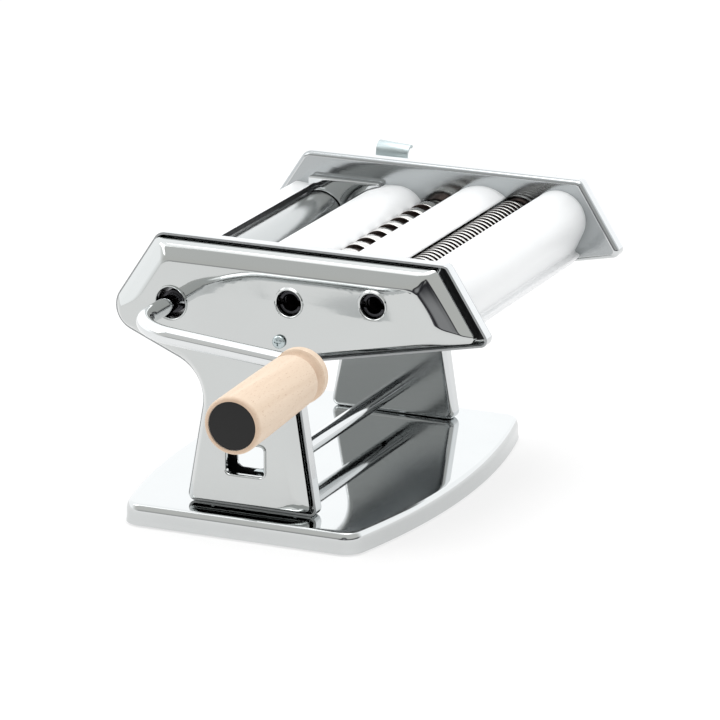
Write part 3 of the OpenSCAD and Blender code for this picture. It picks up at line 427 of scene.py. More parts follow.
# Side plates
# Flat steel sheet with a flange turned outwards all round, chromed. The flange stands on the base and
# frames the cover with a dark groove. The crank side has a window for a table clamp.
plate_low, plate_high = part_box("crank_side_plate")
GROUND = base_high.z
PLATE_SHEET = 0.0012
PLATE_BEND = 0.0022
PLATE_FLAT = 0.0015
PLATE_LIP = 0.001
PLATE_EDGE = 0.00025
SIDE_CORNERS = [
    (-0.0330, 0.0), (0.0330, 0.0), (0.0220, 0.0725), (0.1185, 0.0920),
    (0.0965, 0.1270), (-0.0465, 0.1270), (-0.0745, 0.0845), (-0.0220, 0.0620),
]
SIDE_RADII = [0.0035, 0.0035, 0.0035, 0.0035, 0.0035, 0.006, 0.012, 0.020]
# Share of an inset that an outer corner keeps as radius, so that inner outlines stay softly rounded
INNER_SHARE = [0.1, 0.6, 0.0, 0.30, 0.40, 0.45, 1.0, 0.0]
LEAST_RADIUS = 0.0008
CORNER_STEPS = 14
WINDOW = (-0.01025, 0.01025, 0.0175, 0.0335)
WINDOW_RADIUS = 0.003


def corner_arc(before, corner, after, radius, steps, share=None):
    """The arc that rounds a corner; share is the most that it may take of the shorter side."""
    c = Vector(corner)
    u, v = Vector(before) - c, Vector(after) - c
    shorter = min(u.length, v.length)
    u, v = u.normalized(), v.normalized()
    half = acos(max(-1.0, min(1.0, u.dot(v)))) / 2
    if share:
        radius = min(radius, share * shorter * tan(half))
    centre = c + (u + v).normalized() * (radius / sin(half))
    reach = radius / tan(half)
    a, b = c + u * reach - centre, c + v * reach - centre
    start = atan2(a.y, a.x)
    sweep = (atan2(b.y, b.x) - start + pi) % (2 * pi) - pi
    return arc(centre, radius, start, start + sweep, steps)


def rounded(corners, radii, steps, straight=1):
    """An outline with each corner replaced by an arc; hollow corners turn the other way.

    straight is the number of pieces that each stretch between two arcs is cut into."""
    around = zip(corners[-1:] + corners[:-1], corners, corners[1:] + corners[:1], radii)
    arcs = [corner_arc(*corner, steps) for corner in around]
    result = []
    for i, bend in enumerate(arcs):
        a, b = Vector(bend[-1]), Vector(arcs[(i + 1) % len(arcs)][0])
        result += bend + [tuple(a.lerp(b, k / straight)) for k in range(1, straight)]
    return result


def side_ring(insets, straight=1):
    """The side outline with every edge moved in by its own inset."""
    count = len(SIDE_CORNERS)
    corners = [Vector(c) for c in SIDE_CORNERS]
    along = [(corners[(i + 1) % count] - corners[i]).normalized() for i in range(count)]
    normals = [Vector((-e.y, e.x)) for e in along]
    moved, radii = [], []
    for i in range(count):
        before, after = insets[i - 1], insets[i]
        a = corners[i] + normals[i - 1] * before
        b = corners[i] + normals[i] * after
        e, m = along[i - 1], normals[i]
        moved.append(a + e * ((b - a).dot(m) / e.dot(m)))
        hollow = along[i - 1].cross(along[i]) < 0.0
        d = max(before, after)
        least = LEAST_RADIUS + INNER_SHARE[i] * d
        radii.append(SIDE_RADII[i] + d if hollow else max(SIDE_RADII[i] - d, least))
    return rounded(moved, radii, CORNER_STEPS, straight)


def upright(ring, x):
    """A ring of (y, height over the base) set up at a place along X."""
    return [(x, y, GROUND + h) for y, h in ring]


def inside(point, loop):
    """Whether a point lies inside a closed loop."""
    hit = False
    for (y0, h0), (y1, h1) in zip(loop, loop[1:] + loop[:1]):
        if (h0 > point[1]) != (h1 > point[1]):
            if point[0] < (y1 - y0) * (point[1] - h0) / (h1 - h0) + y0:
                hit = not hit
    return hit


def pierced(outline, holes, between=()):
    """Flat triangles between an outline and the holes in it, as points and faces of (y, height)."""
    points, edges = [], []
    for loop in [outline] + holes:
        start = len(points)
        points += [Vector(p) for p in loop]
        edges += [(start + i, start + (i + 1) % len(loop)) for i in range(len(loop))]
    border = list(range(len(outline)))
    flat, _, faces, _, _, _ = delaunay_2d_cdt(points + [Vector(p) for p in between], edges, [border], 1, 1e-9)
    kept = []
    for face in faces:
        middle = sum((flat[i] for i in face), Vector((0.0, 0.0))) / len(face)
        if not any(inside(middle, hole) for hole in holes):
            kept.append(face)
    return [tuple(p) for p in flat], kept


def window_loop(grow):
    """The clamp window's outline, moved outwards by a distance."""
    y0, y1, h0, h1 = WINDOW
    corners = [(y0 - grow, h0 - grow), (y1 + grow, h0 - grow), (y1 + grow, h1 + grow), (y0 - grow, h1 + grow)]
    return rounded(corners, [WINDOW_RADIUS + grow] * 4, 10)


def even(inset):
    """The same inset for every edge of the side outline."""
    return [inset] * len(SIDE_CORNERS)


def plate_skin(sign, holes):
    """The plate's outer skin: flange from the lip to the bend, and the web with its holes."""
    web = plate_low.x
    rim = side_ring(even(0.0))
    rings = [upright(rim, x) for x in (plate_high.x, plate_high.x - PLATE_LIP, web + PLATE_BEND + PLATE_LIP)]
    for i in range(9):
        a = radians(90.0 * i / 8)
        bend_ring = side_ring(even(PLATE_BEND * (1.0 - cos(a))))
        rings.append(upright(bend_ring, web + PLATE_BEND * (1.0 - sin(a))))
    edge_ring = side_ring(even(PLATE_BEND + PLATE_FLAT))
    rings.append(upright(edge_ring, web))
    flat, triangles = pierced(edge_ring, holes)
    points, faces = joined([skin(rings, cap=False), (upright(flat, web), triangles)])
    return [(sign * x, y, z) for x, y, z in points], faces


plate_chrome = chrome_plate("plate_chrome", (0.62, 0.635, 0.64), 0.06, 0.00003)
# A duller, darker copy of the plate chrome: painted shade for the inside of the frame. Then a near black:
# painted shade for the web behind the covers and for the front guard's hem.
web_chrome_painted_shade = chrome_plate("web_chrome_painted_shade", (0.40, 0.418, 0.425), 0.14, 0.00003)
painted_shade_black = chrome_plate("painted_shade_black", (0.035, 0.035, 0.037), 0.4)
cut_edge = chrome_plate("cut_edge", (0.33, 0.34, 0.345), 0.3)
WEB_REACH = 0.002
LIP_REACH = 0.0003


def dull_web(piece):
    """Gives the web towards the rollers and its upward bends a duller chrome, darker as painted shade; paints
    the web behind the cover near black as painted shade; dulls the lip.
    """
    for finish in (web_chrome_painted_shade, painted_shade_black, cut_edge):
        piece.data.materials.append(finish)
    for face in piece.data.polygons:
        if abs(face.normal.x) > 0.999 and abs(face.center.x) < plate_low.x + WEB_REACH:
            face.material_index = 2 if face.normal.x * face.center.x > 0.0 else 1
        elif face.normal.z > 0.2 and face.normal.x * face.center.x < -0.1 * plate_low.x:
            face.material_index = 1
        elif abs(face.normal.x) > 0.6 and abs(face.center.x) > plate_high.x - LIP_REACH:
            face.material_index = 3


SHAFTS = [(-0.0366, 0.0964), (0.0223, 0.1028), (0.0387, 0.1028), (0.0635, 0.1063), (0.0799, 0.1063)]
AXLE_PLACE = (-0.01015, 0.0948)
BUSH_HOLE = 0.00608
HUB_SLOT = 0.0089
HUB_SLOT_ENDS = ((-0.0089, 0.0964), (-0.0114, 0.0964))
*shaft_holes, axle_hole = [arc(place, BUSH_HOLE, 0.0, 2 * pi, 40)[:-1] for place in SHAFTS + [AXLE_PLACE]]
hub_slot = arc(HUB_SLOT_ENDS[0], HUB_SLOT, -pi / 2, pi / 2, 20)
hub_slot += arc(HUB_SLOT_ENDS[1], HUB_SLOT, pi / 2, 1.5 * pi, 20)
for name, node, sign, holes in (
    ("crank_side_sheet", "crank_side_plate", 1, [hub_slot, window_loop(0.0)]),
    ("dial_side_sheet", "dial_side_plate", -1, [axle_hole]),
):
    points, faces = plate_skin(sign, shaft_holes + holes)
    plate = finish_piece(name, points, faces, plate_chrome, sheet=PLATE_SHEET, edge=PLATE_EDGE,
                         outward=(len(faces) - 1, (-sign, 0, 0)))
    dull_web(plate)
    stand_for(plate, "frame", node)

# Side covers
# Pressed pans of thin chromed steel: a straight wall, a steep bevel, a shallow bevel and a face that springs
# back into a faint dish. The holes for the crank and the clamp window are plunged inwards, with round edges.
cover_low, cover_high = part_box("crank_side_cover")
COVER_SHEET = 0.0008
# Groove beside the flange per edge: foot, leg rear, underside, rear, top, front, chin, leg front
COVER_GROOVES = [0.0020, 0.0030, 0.0024, 0.0054, 0.0024, 0.0009, 0.0009, 0.0009]
COVER_LEAN = 0.006
COVER_BEVEL = 0.0081
COVER_DROP = 0.007
LEAN_SHARE = [0.15, 0.36, 0.2, 0.8, 0.34, 0.8, 0.5, 0.3]
BEVEL_SHARE = [0.2, 0.62, 0.28, 0.97, 0.86, 0.8, 0.6, 0.4]
# Shares of the steep bevel, of the shallow bevel and of the drop, from the wall to the face
COVER_SECTION = [(0.0, 0.0, 1.0), (0.3, 0.0, 0.8), (0.7, 0.0, 0.56), (1.0, 0.05, 0.41), (1.0, 0.35, 0.243),
                 (1.0, 0.6, 0.115), (1.0, 0.8, 0.036), (1.0, 0.92, 0.0075), (1.0, 1.0, 0.0)]
SECTION_STEPS = 6
FACE_STRAIGHT = 32
FACE_RISE = 0.0003
DISH_HOLLOW = 10.8
DISH_CREST = 10.5
# Place along Y, height of the steepest line and its tilt in degrees
DISH_TABLE = [
    (-0.034, 0.1050, 0.0), (-0.026, 0.1050, 0.0), (-0.015, 0.1069, 2.3), (-0.0036, 0.1100, 3.9),
    (0.0078, 0.1120, 5.2), (0.020, 0.1120, 6.0), (0.047, 0.1125, 7.2), (0.066, 0.1125, 7.8),
    (0.080, 0.1125, 7.8), (0.093, 0.1125, 7.8),
]
FACE_ROWS = [0.0005, 0.0011, 0.0018, 0.0027, 0.0038, 0.0052, 0.0070, 0.0092]
FACE_GRID = 0.003
FACE_CLEAR = 0.0004
LIP_BESIDE = 0.00015


def eased(table, steps):
    """A smooth run of points through a table, with tangents taken from the neighbours."""
    run = []
    for i in range(len(table) - 1):
        p0, p1 = Vector(table[max(i - 1, 0)]), Vector(table[i])
        p2, p3 = Vector(table[i + 1]), Vector(table[min(i + 2, len(table) - 1)])
        m1, m2 = (p2 - p0) / 2, (p3 - p1) / 2
        for k in range(steps):
            t = k / steps
            begin, end = 2 * t ** 3 - 3 * t ** 2 + 1, 3 * t ** 2 - 2 * t ** 3
            run.append(p1 * begin + m1 * (t ** 3 - 2 * t ** 2 + t) + p2 * end + m2 * (t ** 3 - t ** 2))
    return run + [Vector(table[-1])]


def cover_insets(lean, bevel, extra=0.0):
    """How far each edge of the side outline moves in for a ring of the cover."""
    shares = zip(COVER_GROOVES, LEAN_SHARE, BEVEL_SHARE)
    return [g + extra + COVER_LEAN * lean * a + COVER_BEVEL * bevel * b for g, a, b in shares]


face_ring = side_ring(cover_insets(1.0, 1.0), FACE_STRAIGHT)
face_top = max(h for _, h in face_ring)


def gap_to(loop, point):
    """Distance of a point from a closed loop."""
    p, least = Vector(point), 1.0
    for start, end in zip(loop, loop[1:] + loop[:1]):
        a, e = Vector(start), Vector(end) - Vector(start)
        t = max(0.0, min(1.0, (p - a).dot(e) / max(e.dot(e), 1e-12)))
        least = min(least, (p - a - e * t).length)
    return least


dish_lines = eased(DISH_TABLE, 12)


def dish(point):
    """How far the face springs back: a hollow, a steepest line, then a round crest up to its top edge."""
    y, h = point
    _, steep, tilt = dish_lines[0] if y <= dish_lines[0].x else dish_lines[-1]
    for a, b in zip(dish_lines, dish_lines[1:]):
        if a.x < y <= b.x:
            _, steep, tilt = a.lerp(b, (y - a.x) / (b.x - a.x))
    tilt = radians(max(0.0, tilt))
    low, high = steep - tilt / DISH_HOLLOW, steep + tilt / DISH_CREST
    risen = []
    for level in (face_top, h):
        under = max(0.0, min(level, steep) - low)
        over = max(0.0, min(level, high) - steep)
        risen.append(DISH_HOLLOW / 2 * under ** 2 + tilt * over - DISH_CREST / 2 * over ** 2)
    return risen[0] - risen[1]


def face_x(point):
    """Place of the dished face along X over a point of (y, height)."""
    return cover_high.x + FACE_RISE - dish(point)


def face_normal(point):
    """The way that the dished face looks over a point of (y, height)."""
    y, h = point
    step = 0.00005
    along = (dish((y + step, h)) - dish((y - step, h))) / (2 * step)
    up = (dish((y, min(h + step, face_top))) - dish((y, h - step))) / (min(h + step, face_top) - h + step)
    return Vector((1.0, along, up)).normalized()


def face_points(loops):
    """Points inside the face that carry its dish: rows along the edge, then an even grid."""
    candidates = []
    for row in FACE_ROWS:
        candidates += side_ring(cover_insets(1.0, 1.0, row), FACE_STRAIGHT)
    ys, hs = [p[0] for p in face_ring], [p[1] for p in face_ring]
    for i in range(int((max(ys) - min(ys)) / FACE_GRID)):
        for k in range(int((max(hs) - min(hs)) / FACE_GRID)):
            point = (min(ys) + FACE_GRID * (i + 0.5 * (k % 2)), min(hs) + FACE_GRID * k)
            if inside(point, face_ring) and gap_to(face_ring, point) > FACE_ROWS[-1] + FACE_GRID / 2:
                candidates.append(point)
    clear = [p for p in candidates if not any(inside(p, loop) for loop in loops)]
    return [p for p in clear if min(gap_to(loop, p) for loop in loops) > FACE_CLEAR]


def round_loop(place, radius):
    """A function that gives a round hole's outline, moved outwards by a distance."""
    return lambda grow: arc(place, radius + grow, 0.0, 2 * pi, 64)[:-1]


def cover_skin(sign, loops, lip_round, lip_collar):
    """The cover's outer skin with its rolled holes; loops are functions of a distance outside the hole."""
    rings = [upright(side_ring(cover_insets(0.0, 0.0), FACE_STRAIGHT), cover_low.x)]
    for lean, bevel, drop in eased(COVER_SECTION, SECTION_STEPS):
        ring = side_ring(cover_insets(lean, bevel), FACE_STRAIGHT)
        sunk = [cover_high.x - COVER_DROP * drop + (1.0 - drop) * (FACE_RISE - dish(p)) for p in face_ring]
        rings.append([(x, y, GROUND + h) for x, (y, h) in zip(sunk, ring)])
    beside = [loop(lip_round + LIP_BESIDE) for loop in loops]
    flat, triangles = pierced(face_ring, beside, face_points(beside))
    shapes = [skin(rings, cap=False), ([(face_x(p), p[0], GROUND + p[1]) for p in flat], triangles)]
    for loop, outer in zip(loops, beside):
        level = [face_x(p) for p in outer]
        lip = [(outer, 0.0)]
        for i in range(9):
            a = radians(90.0 * i / 8)
            lip.append((loop(lip_round * (1.0 - sin(a))), lip_round * (1.0 - cos(a))))
        lip.append((loop(0.0), lip_round + lip_collar))
        rings = [[(x - depth, y, GROUND + h) for x, (y, h) in zip(level, ring)] for ring, depth in lip]
        more, quads = skin(rings, cap=False)
        shapes.append((more, [face[::-1] for face in quads]))
    points, faces = joined(shapes)
    return [(sign * x, y, z) for x, y, z in points], faces


cover_chrome = chrome_plate("cover_chrome", (0.555, 0.57, 0.565), 0.04, 0.00001)
CRANK_HOLE = 0.008
CUTTER_HOLE = 0.0067
SCREW_PLACE = (0.0176, 0.0843)
FACE_MATCH = 2e-6
AXLE_ROOM = 0.0044
INDEX_RADIUS = 0.015
INDEX_HOLE = 0.0018
INDEX_STEP = radians(50.0 / 3)
LEVER_LEAN = radians(4.0)
crank_loops = [round_loop(SHAFTS[0], CRANK_HOLE), window_loop]
crank_loops += [round_loop(SHAFTS[i], CUTTER_HOLE) for i in (1, 3)]
dial_loops = [round_loop(AXLE_PLACE, AXLE_ROOM)]
for i in range(-3, 4):
    a = pi / 2 - LEVER_LEAN + INDEX_STEP * i
    hole = (AXLE_PLACE[0] + INDEX_RADIUS * cos(a), AXLE_PLACE[1] + INDEX_RADIUS * sin(a))
    dial_loops.append(round_loop(hole, INDEX_HOLE))
for name, node, sign, loops, lip in (
    ("crank_side_pan", "crank_side_cover", 1, crank_loops, (0.00025, 0.0016)),
    ("dial_side_pan", "dial_side_cover", -1, dial_loops, (0.0002, 0.0006)),
):
    points, faces = cover_skin(sign, loops, *lip)
    flat_face = next(i for i, f in enumerate(faces) if len(f) == 3)
    cover = finish_piece(name, points, faces, cover_chrome, sheet=COVER_SHEET, outward=(flat_face, (sign, 0, 0)))
    exact = [(0.0, 0.0, 0.0)] * len(cover.data.loops)
    for face in cover.data.polygons:
        corners = [cover.data.vertices[i].co for i in face.vertices]
        spots = [(c.y, c.z - GROUND) for c in corners]
        if len(corners) == 3 and all(abs(sign * c.x - face_x(p)) < FACE_MATCH for c, p in zip(corners, spots)):
            for loop, spot in zip(face.loop_indices, spots):
                exact[loop] = face_normal(spot) * Vector((sign, 1.0, 1.0))
    cover.data.normals_split_custom_set(exact)
    stand_for(cover, "frame", node)


# Tie rods, nuts, posts and screws
# Turned steel rods keep the plates apart, with threaded ends and hexagon nuts. Two long nuts behind the
# covers take the pan head screws. Base screws come up from below.
def plain_steel(name, colour, roughness, direction=(60.0, 2500.0, 2500.0)):
    """Turned or rolled steel: fine drawn lines along one direction in the gloss and the surface."""
    material, tree = new_material(name)
    lines = grain(tree, add_node(tree, "ShaderNodeTexCoord").outputs["Object"], direction, 2.0)
    bump = {"Height": lines, "Strength": 0.4, "Distance": 0.00001}
    return coated(material, {
        "Metallic": 1.0,
        "Base Color": add_mix(tree, lines, tinted(colour, 0.9), tinted(colour, 1.1)),
        "Roughness": add_range(tree, lines, 0.0, 1.0, (roughness * 0.7, roughness * 1.3)),
        "Normal": add_node(tree, "ShaderNodeBump", bump).outputs[0],
    })


def coat_nodes(material, *names):
    """Gives CAD nodes that keep their own shape a finish."""
    for name in names:
        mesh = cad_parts[name].data
        mesh.materials.clear()
        mesh.materials.append(material)


turned_steel = plain_steel("turned_steel", (0.56, 0.57, 0.58), 0.16)
bright_zinc = plain_steel("bright_zinc", (0.47, 0.53, 0.54), 0.22, (700.0, 700.0, 700.0))
rod_chrome = chrome_plate("rod_chrome", (0.60, 0.615, 0.62), 0.06)
TIE_RADIUS = 0.004
TIE_EDGE = 0.0004
TIE_THREAD = 0.0025
TIE_PLACES = [SCREW_PLACE, (0.052, 0.090), (0.002, 0.0134)]
ties_low, ties_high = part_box("tie_rods")
shoulder = plate_low.x
outline = [
    (ties_low.x, 0.0), (ties_low.x, TIE_THREAD - TIE_EDGE), (ties_low.x + TIE_EDGE, TIE_THREAD),
    (-shoulder, TIE_THREAD), (-shoulder, TIE_RADIUS - TIE_EDGE), (-shoulder + TIE_EDGE, TIE_RADIUS),
    (shoulder - TIE_EDGE, TIE_RADIUS), (shoulder, TIE_RADIUS - TIE_EDGE), (shoulder, TIE_THREAD),
    (ties_high.x - TIE_EDGE, TIE_THREAD), (ties_high.x, TIE_THREAD - TIE_EDGE), (ties_high.x, 0.0),
]
three_ties = [turned(outline, (0.0, y, GROUND + h)) for y, h in TIE_PLACES]
ties = finish_piece("tie_rods_turned", *joined(three_ties), rod_chrome)
stand_for(ties, "frame", "tie_rods")
coat_nodes(bright_zinc, "tie_rod_nuts", "cover_posts")
coat_nodes(turned_steel, "base_screws")


def smooth_copy(name, node, material, sharp=radians(35), edge=0.0):
    """A merged, smooth shaded copy of a CAD node's mesh, with its edges broken a little."""
    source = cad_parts[node].data
    shell = bmesh.new()
    shell.from_mesh(source)
    bmesh.ops.remove_doubles(shell, verts=shell.verts, dist=1e-7)
    bmesh.ops.dissolve_limit(shell, angle_limit=radians(1.0), verts=shell.verts, edges=shell.edges)
    points = [tuple(v.co) for v in shell.verts]
    faces = [[v.index for v in f.verts] for f in shell.faces]
    shell.free()
    return finish_piece(name, points, faces, material, sharp=sharp, edge=edge)


screws = smooth_copy("cover_screws_turned", "cover_screws", bright_zinc, edge=0.00015)
stand_for(screws, "frame", "cover_screws")

# Guards
# Four bent steel sheets, shown white with little gloss, run from plate to plate between the rollers and lead
# the dough in. They are held by their ends; their edges at the feed slots are turned down a little.
guard_satin = chrome_plate("guard_satin", (0.86, 0.872, 0.878), 0.40, metal=0.15)
GUARD_SHEET = 0.0008
GUARD_EDGE = 0.00012
GUARD_HEM = 0.0016
BEND_SHARE = 0.45


def bend_path(corners, radii, steps=8):
    """A path through corners with each inner one rounded to its bend radius."""
    path = [corners[0]]
    for corner in zip(corners, corners[1:], corners[2:], radii):
        path += corner_arc(*corner, steps, BEND_SHARE)
    return path + [corners[-1]]


def guard(name, path, replaced):
    """A bent sheet along X whose outer face follows a path of (y, height), front to rear."""
    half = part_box(replaced)[1].x
    points = [(x, y, GROUND + h) for y, h in path for x in (-half, half)]
    faces = [(2 * i, 2 * i + 1, 2 * i + 3, 2 * i + 2) for i in range(len(path) - 1)]
    middle = len(faces) // 2
    (y0, h0), (y1, h1) = path[middle], path[middle + 1]
    piece = finish_piece(name, points, faces, guard_satin, sheet=GUARD_SHEET, edge=GUARD_EDGE,
                         outward=(middle, (0.0, -(h1 - h0), y1 - y0)))
    stand_for(piece, "frame", replaced)
    return piece


def turned_down(path, radius, angle):
    """Adds a small hem that turns down at both ends of a path that runs front to rear."""
    hems = []
    for tip, inner, side in ((path[0], path[1], -1), (path[-1], path[-2], 1)):
        ahead = (Vector(tip) - Vector(inner)).normalized()
        down = side * Vector((ahead.y, -ahead.x))
        hem = []
        for i in range(1, 7):
            a = angle * i / 6
            hem.append(tuple(Vector(tip) + ahead * (radius * sin(a)) + down * (radius * (1.0 - cos(a)))))
        hems.append(hem)
    return hems[0][::-1] + path + hems[1]


FRONT_INSET = 0.0045
FRONT_SHARES = (0.84, 0.30)
FRONT_FOOT = Vector((0.007, -0.0045))
FRONT_LIP = Vector((0.0091, -0.0008))
FRONT_HEM = Vector((0.0003, -0.0024))
FRONT_RADII = [0.0025, 0.0025, 0.0004]
front_top = Vector(SIDE_CORNERS[5])
front_edge = Vector(SIDE_CORNERS[6]) - front_top
front_normal = Vector((-front_edge.y, front_edge.x)).normalized()
front_low, front_ridge = [front_top + front_edge * share + front_normal * FRONT_INSET for share in FRONT_SHARES]
front_lip = front_ridge + FRONT_LIP
front_path = [front_low + FRONT_FOOT, front_low, front_ridge, front_lip, front_lip + FRONT_HEM]
front_sheet = guard("front_sheet", bend_path(front_path, FRONT_RADII), "front_guard")
# The hem beside the roller is painted near black: painted shade for the shaded gap under the lip and its dark
# reflection in the roller
front_sheet.data.materials.append(painted_shade_black)
for face in front_sheet.data.polygons:
    if face.center.y > front_lip.x - 0.0006 and abs(face.normal.y) > 0.5:
        face.material_index = 1
ROLLER_FRONT = ((0.00315, 0.081), 0.034)
ROLLER_REAR = ((0.00315, 0.1005), 0.0145)
ROLLER_EDGE_Y = 0.0149
roller_end = acos((ROLLER_EDGE_Y - ROLLER_REAR[0][0]) / ROLLER_REAR[1])
roller_path = arc(*ROLLER_FRONT, radians(117.0), pi / 2, 20) + arc(*ROLLER_REAR, pi / 2, roller_end, 24)[1:]
guard("roller_sheet", turned_down(roller_path, GUARD_HEM, radians(50)), "roller_guard")
CUTTER_GUARD = ((0.0466, 0.0995), 0.020)
CUTTER_EDGE_Y = 0.0583
cutter_end = acos((CUTTER_EDGE_Y - CUTTER_GUARD[0][0]) / CUTTER_GUARD[1])
cutter_path = arc(*CUTTER_GUARD, pi - cutter_end, cutter_end, 40)
guard("cutter_sheet", turned_down(cutter_path, GUARD_HEM, radians(45)), "cutter_guard")
REAR_CENTRE = (SHAFTS[4][0] + 0.0061, SHAFTS[4][1] + 0.0012)
REAR_RADIUS = 0.014
REAR_TAIL = radians(-25.0)
REAR_SKIRT = 0.010
REAR_STEP = Vector((0.0034, -0.0012))
REAR_FOOT = Vector((-0.0014, -0.0064))
rear_arc = arc(REAR_CENTRE, REAR_RADIUS, radians(137.0), REAR_TAIL, 48)
skirt = Vector(rear_arc[-1]) + REAR_SKIRT * Vector((sin(REAR_TAIL), -cos(REAR_TAIL)))
rear_foot = bend_path([rear_arc[-1], skirt, skirt + REAR_STEP, skirt + REAR_FOOT], [0.001, 0.001])
guard("rear_sheet", rear_arc + rear_foot[1:], "rear_guard")


# Dough guides and scrapers
# Small pressed cheeks over the ends of the smooth rollers keep the sheet off the plates. Spring steel
# scrapers below keep dough from going round with the rollers.
guide_chrome = chrome_plate("guide_chrome", (0.62, 0.635, 0.64), 0.08)
guides = smooth_copy("dough_cheeks", "dough_guides", guide_chrome, edge=0.0004)
stand_for(guides, "frame", "dough_guides")
coat_nodes(turned_steel, "drive_scraper", "adjust_scraper")


# Smooth rollers
# Ground steel rollers, chromed. The front one is driven and the rear one shifts with the thickness lever;
# it is a tube on two sleeves, with a hub through the plate for its gear.
def edged(outline, radius):
    """An (x, radius) outline with its outer corners cut at 45 degrees."""
    result = []
    for i, point in enumerate(outline):
        if 0 < i < len(outline) - 1 and point[1] > radius * 2:
            for other in (outline[i - 1], outline[i + 1]):
                step = Vector(other) - Vector(point)
                result.append(tuple(Vector(point) + step * min(0.4, radius / step.length)))
        else:
            result.append(point)
    return result


roller_chrome = chrome_plate("roller_chrome", (0.47, 0.485, 0.485), 0.18)
ROLLER_RADIUS = 0.0125
ROLLER_HALF = 0.075
SHAFT_RADIUS = 0.0048
ROLLER_EDGE = 0.0004


def roller_body(node, place, radius, steps):
    """Points and faces of a roller with its shaft, as long as a CAD node, at a place of (y, height)."""
    low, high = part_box(node)
    outline = [(low.x, 0.0), (low.x, SHAFT_RADIUS), (-ROLLER_HALF, SHAFT_RADIUS), (-ROLLER_HALF, radius),
               (ROLLER_HALF, radius), (ROLLER_HALF, SHAFT_RADIUS), (high.x, SHAFT_RADIUS), (high.x, 0.0)]
    return turned(edged(outline, ROLLER_EDGE), (0.0, place[0], GROUND + place[1]), steps)


front_body = roller_body("drive_roller", SHAFTS[0], ROLLER_RADIUS, 96)
drive_roller = finish_piece("front_smooth_roller", *front_body, roller_chrome)
stand_for(drive_roller, "sheet_drive", "drive_roller")
rear_roller = smooth_copy("rear_smooth_roller", "adjust_roller", roller_chrome)
stand_for(rear_roller, "adjust_roller", "adjust_roller")

# Cutters
# Each cutter is a shaft with ground rings; the rings of a pair run in each other's grooves and shear the
# sheet. Combs of sheet steel lie in the grooves below and lift the noodles out.
cutter_tree = bpy.data.node_groups.new("cutter_rings", "GeometryNodeTree")
cutter_tree.interface.new_socket("Core", in_out="INPUT", socket_type="NodeSocketGeometry")
ring_sockets = {}
for kind, labels in (
    ("Int", ["Rings"]),
    ("Float", ["Pitch", "Ring Width", "Ring Radius", "Core Radius", "Edge", "Axis Y", "Axis Z"]),
    ("Material", ["Finish", "Groove Painted Shade"]),
):
    for label in labels:
        socket = cutter_tree.interface.new_socket(label, in_out="INPUT", socket_type="NodeSocket" + kind)
        ring_sockets[label] = socket.identifier
cutter_tree.interface.new_socket("Cutter", in_out="OUTPUT", socket_type="NodeSocketGeometry")
given = add_node(cutter_tree, "NodeGroupInput").outputs


def sum_node(operation, a, b):
    """A Math node of the cutter tree; a and b are sockets or numbers."""
    return math_node(cutter_tree, "ShaderNodeMath", operation, a, b)[0]


def shape_node(kind, inputs=None, **settings):
    """The first output of a Geometry node of the cutter tree."""
    return add_node(cutter_tree, "GeometryNode" + kind, inputs, **settings).outputs[0]


RING_ROOT = 0.0008
RING_STEPS = 72
FLANK_LEAST = 0.8
wall = sum_node("SUBTRACT", given["Ring Radius"], given["Core Radius"])
depth = sum_node("ADD", wall, RING_ROOT)
mid = sum_node("SUBTRACT", given["Ring Radius"], sum_node("MULTIPLY", depth, 0.5))
hoop = shape_node("CurvePrimitiveCircle", {"Resolution": RING_STEPS, "Radius": mid})
section = shape_node("CurvePrimitiveQuadrilateral", {"Width": depth, "Height": given["Ring Width"]})
section = shape_node("FilletCurve", {"Curve": section, "Radius": given["Edge"], "Count": 2}, mode="POLY")
ring = shape_node("CurveToMesh", {"Curve": hoop, "Profile Curve": section})
ring = shape_node("Transform", {"Geometry": ring, "Rotation": (0.0, pi / 2, 0.0)})
reach = sum_node("MULTIPLY", sum_node("SUBTRACT", given["Rings"], 1), given["Pitch"])
first = {"X": sum_node("MULTIPLY", reach, -0.5), "Y": given["Axis Y"], "Z": given["Axis Z"]}
row = shape_node("MeshLine", {
    "Count": given["Rings"],
    "Start Location": add_node(cutter_tree, "ShaderNodeCombineXYZ", first).outputs[0],
    "Offset": add_node(cutter_tree, "ShaderNodeCombineXYZ", {"X": given["Pitch"]}).outputs[0],
})
rings = shape_node("RealizeInstances", {0: shape_node("InstanceOnPoints", {"Points": row, "Instance": ring})})
# The ring flanks and the core between the rings are painted near black: painted shade in the grooves between the
# rings
along_axis = add_node(cutter_tree, "ShaderNodeSeparateXYZ", {0: shape_node("InputNormal")}).outputs["X"]
flank = sum_node("GREATER_THAN", sum_node("ABSOLUTE", along_axis, 0.0), FLANK_LEAST)
dark = {"Material": given["Groove Painted Shade"]}
rings = shape_node("SetMaterial", {"Geometry": rings, "Material": given["Finish"]})
rings = shape_node("SetMaterial", {"Geometry": rings, "Selection": flank, **dark})
gather = add_node(cutter_tree, "GeometryNodeJoinGeometry", {0: rings})
cutter_tree.links.new(shape_node("SetMaterial", {"Geometry": given["Core"], **dark}), gather.inputs[0])
add_node(cutter_tree, "NodeGroupOutput", {0: gather.outputs[0]})

cutter_steel = chrome_plate("cutter_chrome", (0.66, 0.65, 0.63), 0.12)
# Near black steel for the grooves: painted shade
groove_painted_shade = plain_steel("groove_painted_shade", (0.05, 0.038, 0.034), 0.35)
CORE_RADIUS = 0.0071
RING_RADIUS = 0.0086
RING_PLAY = 0.00015
RING_EDGE = 0.0002


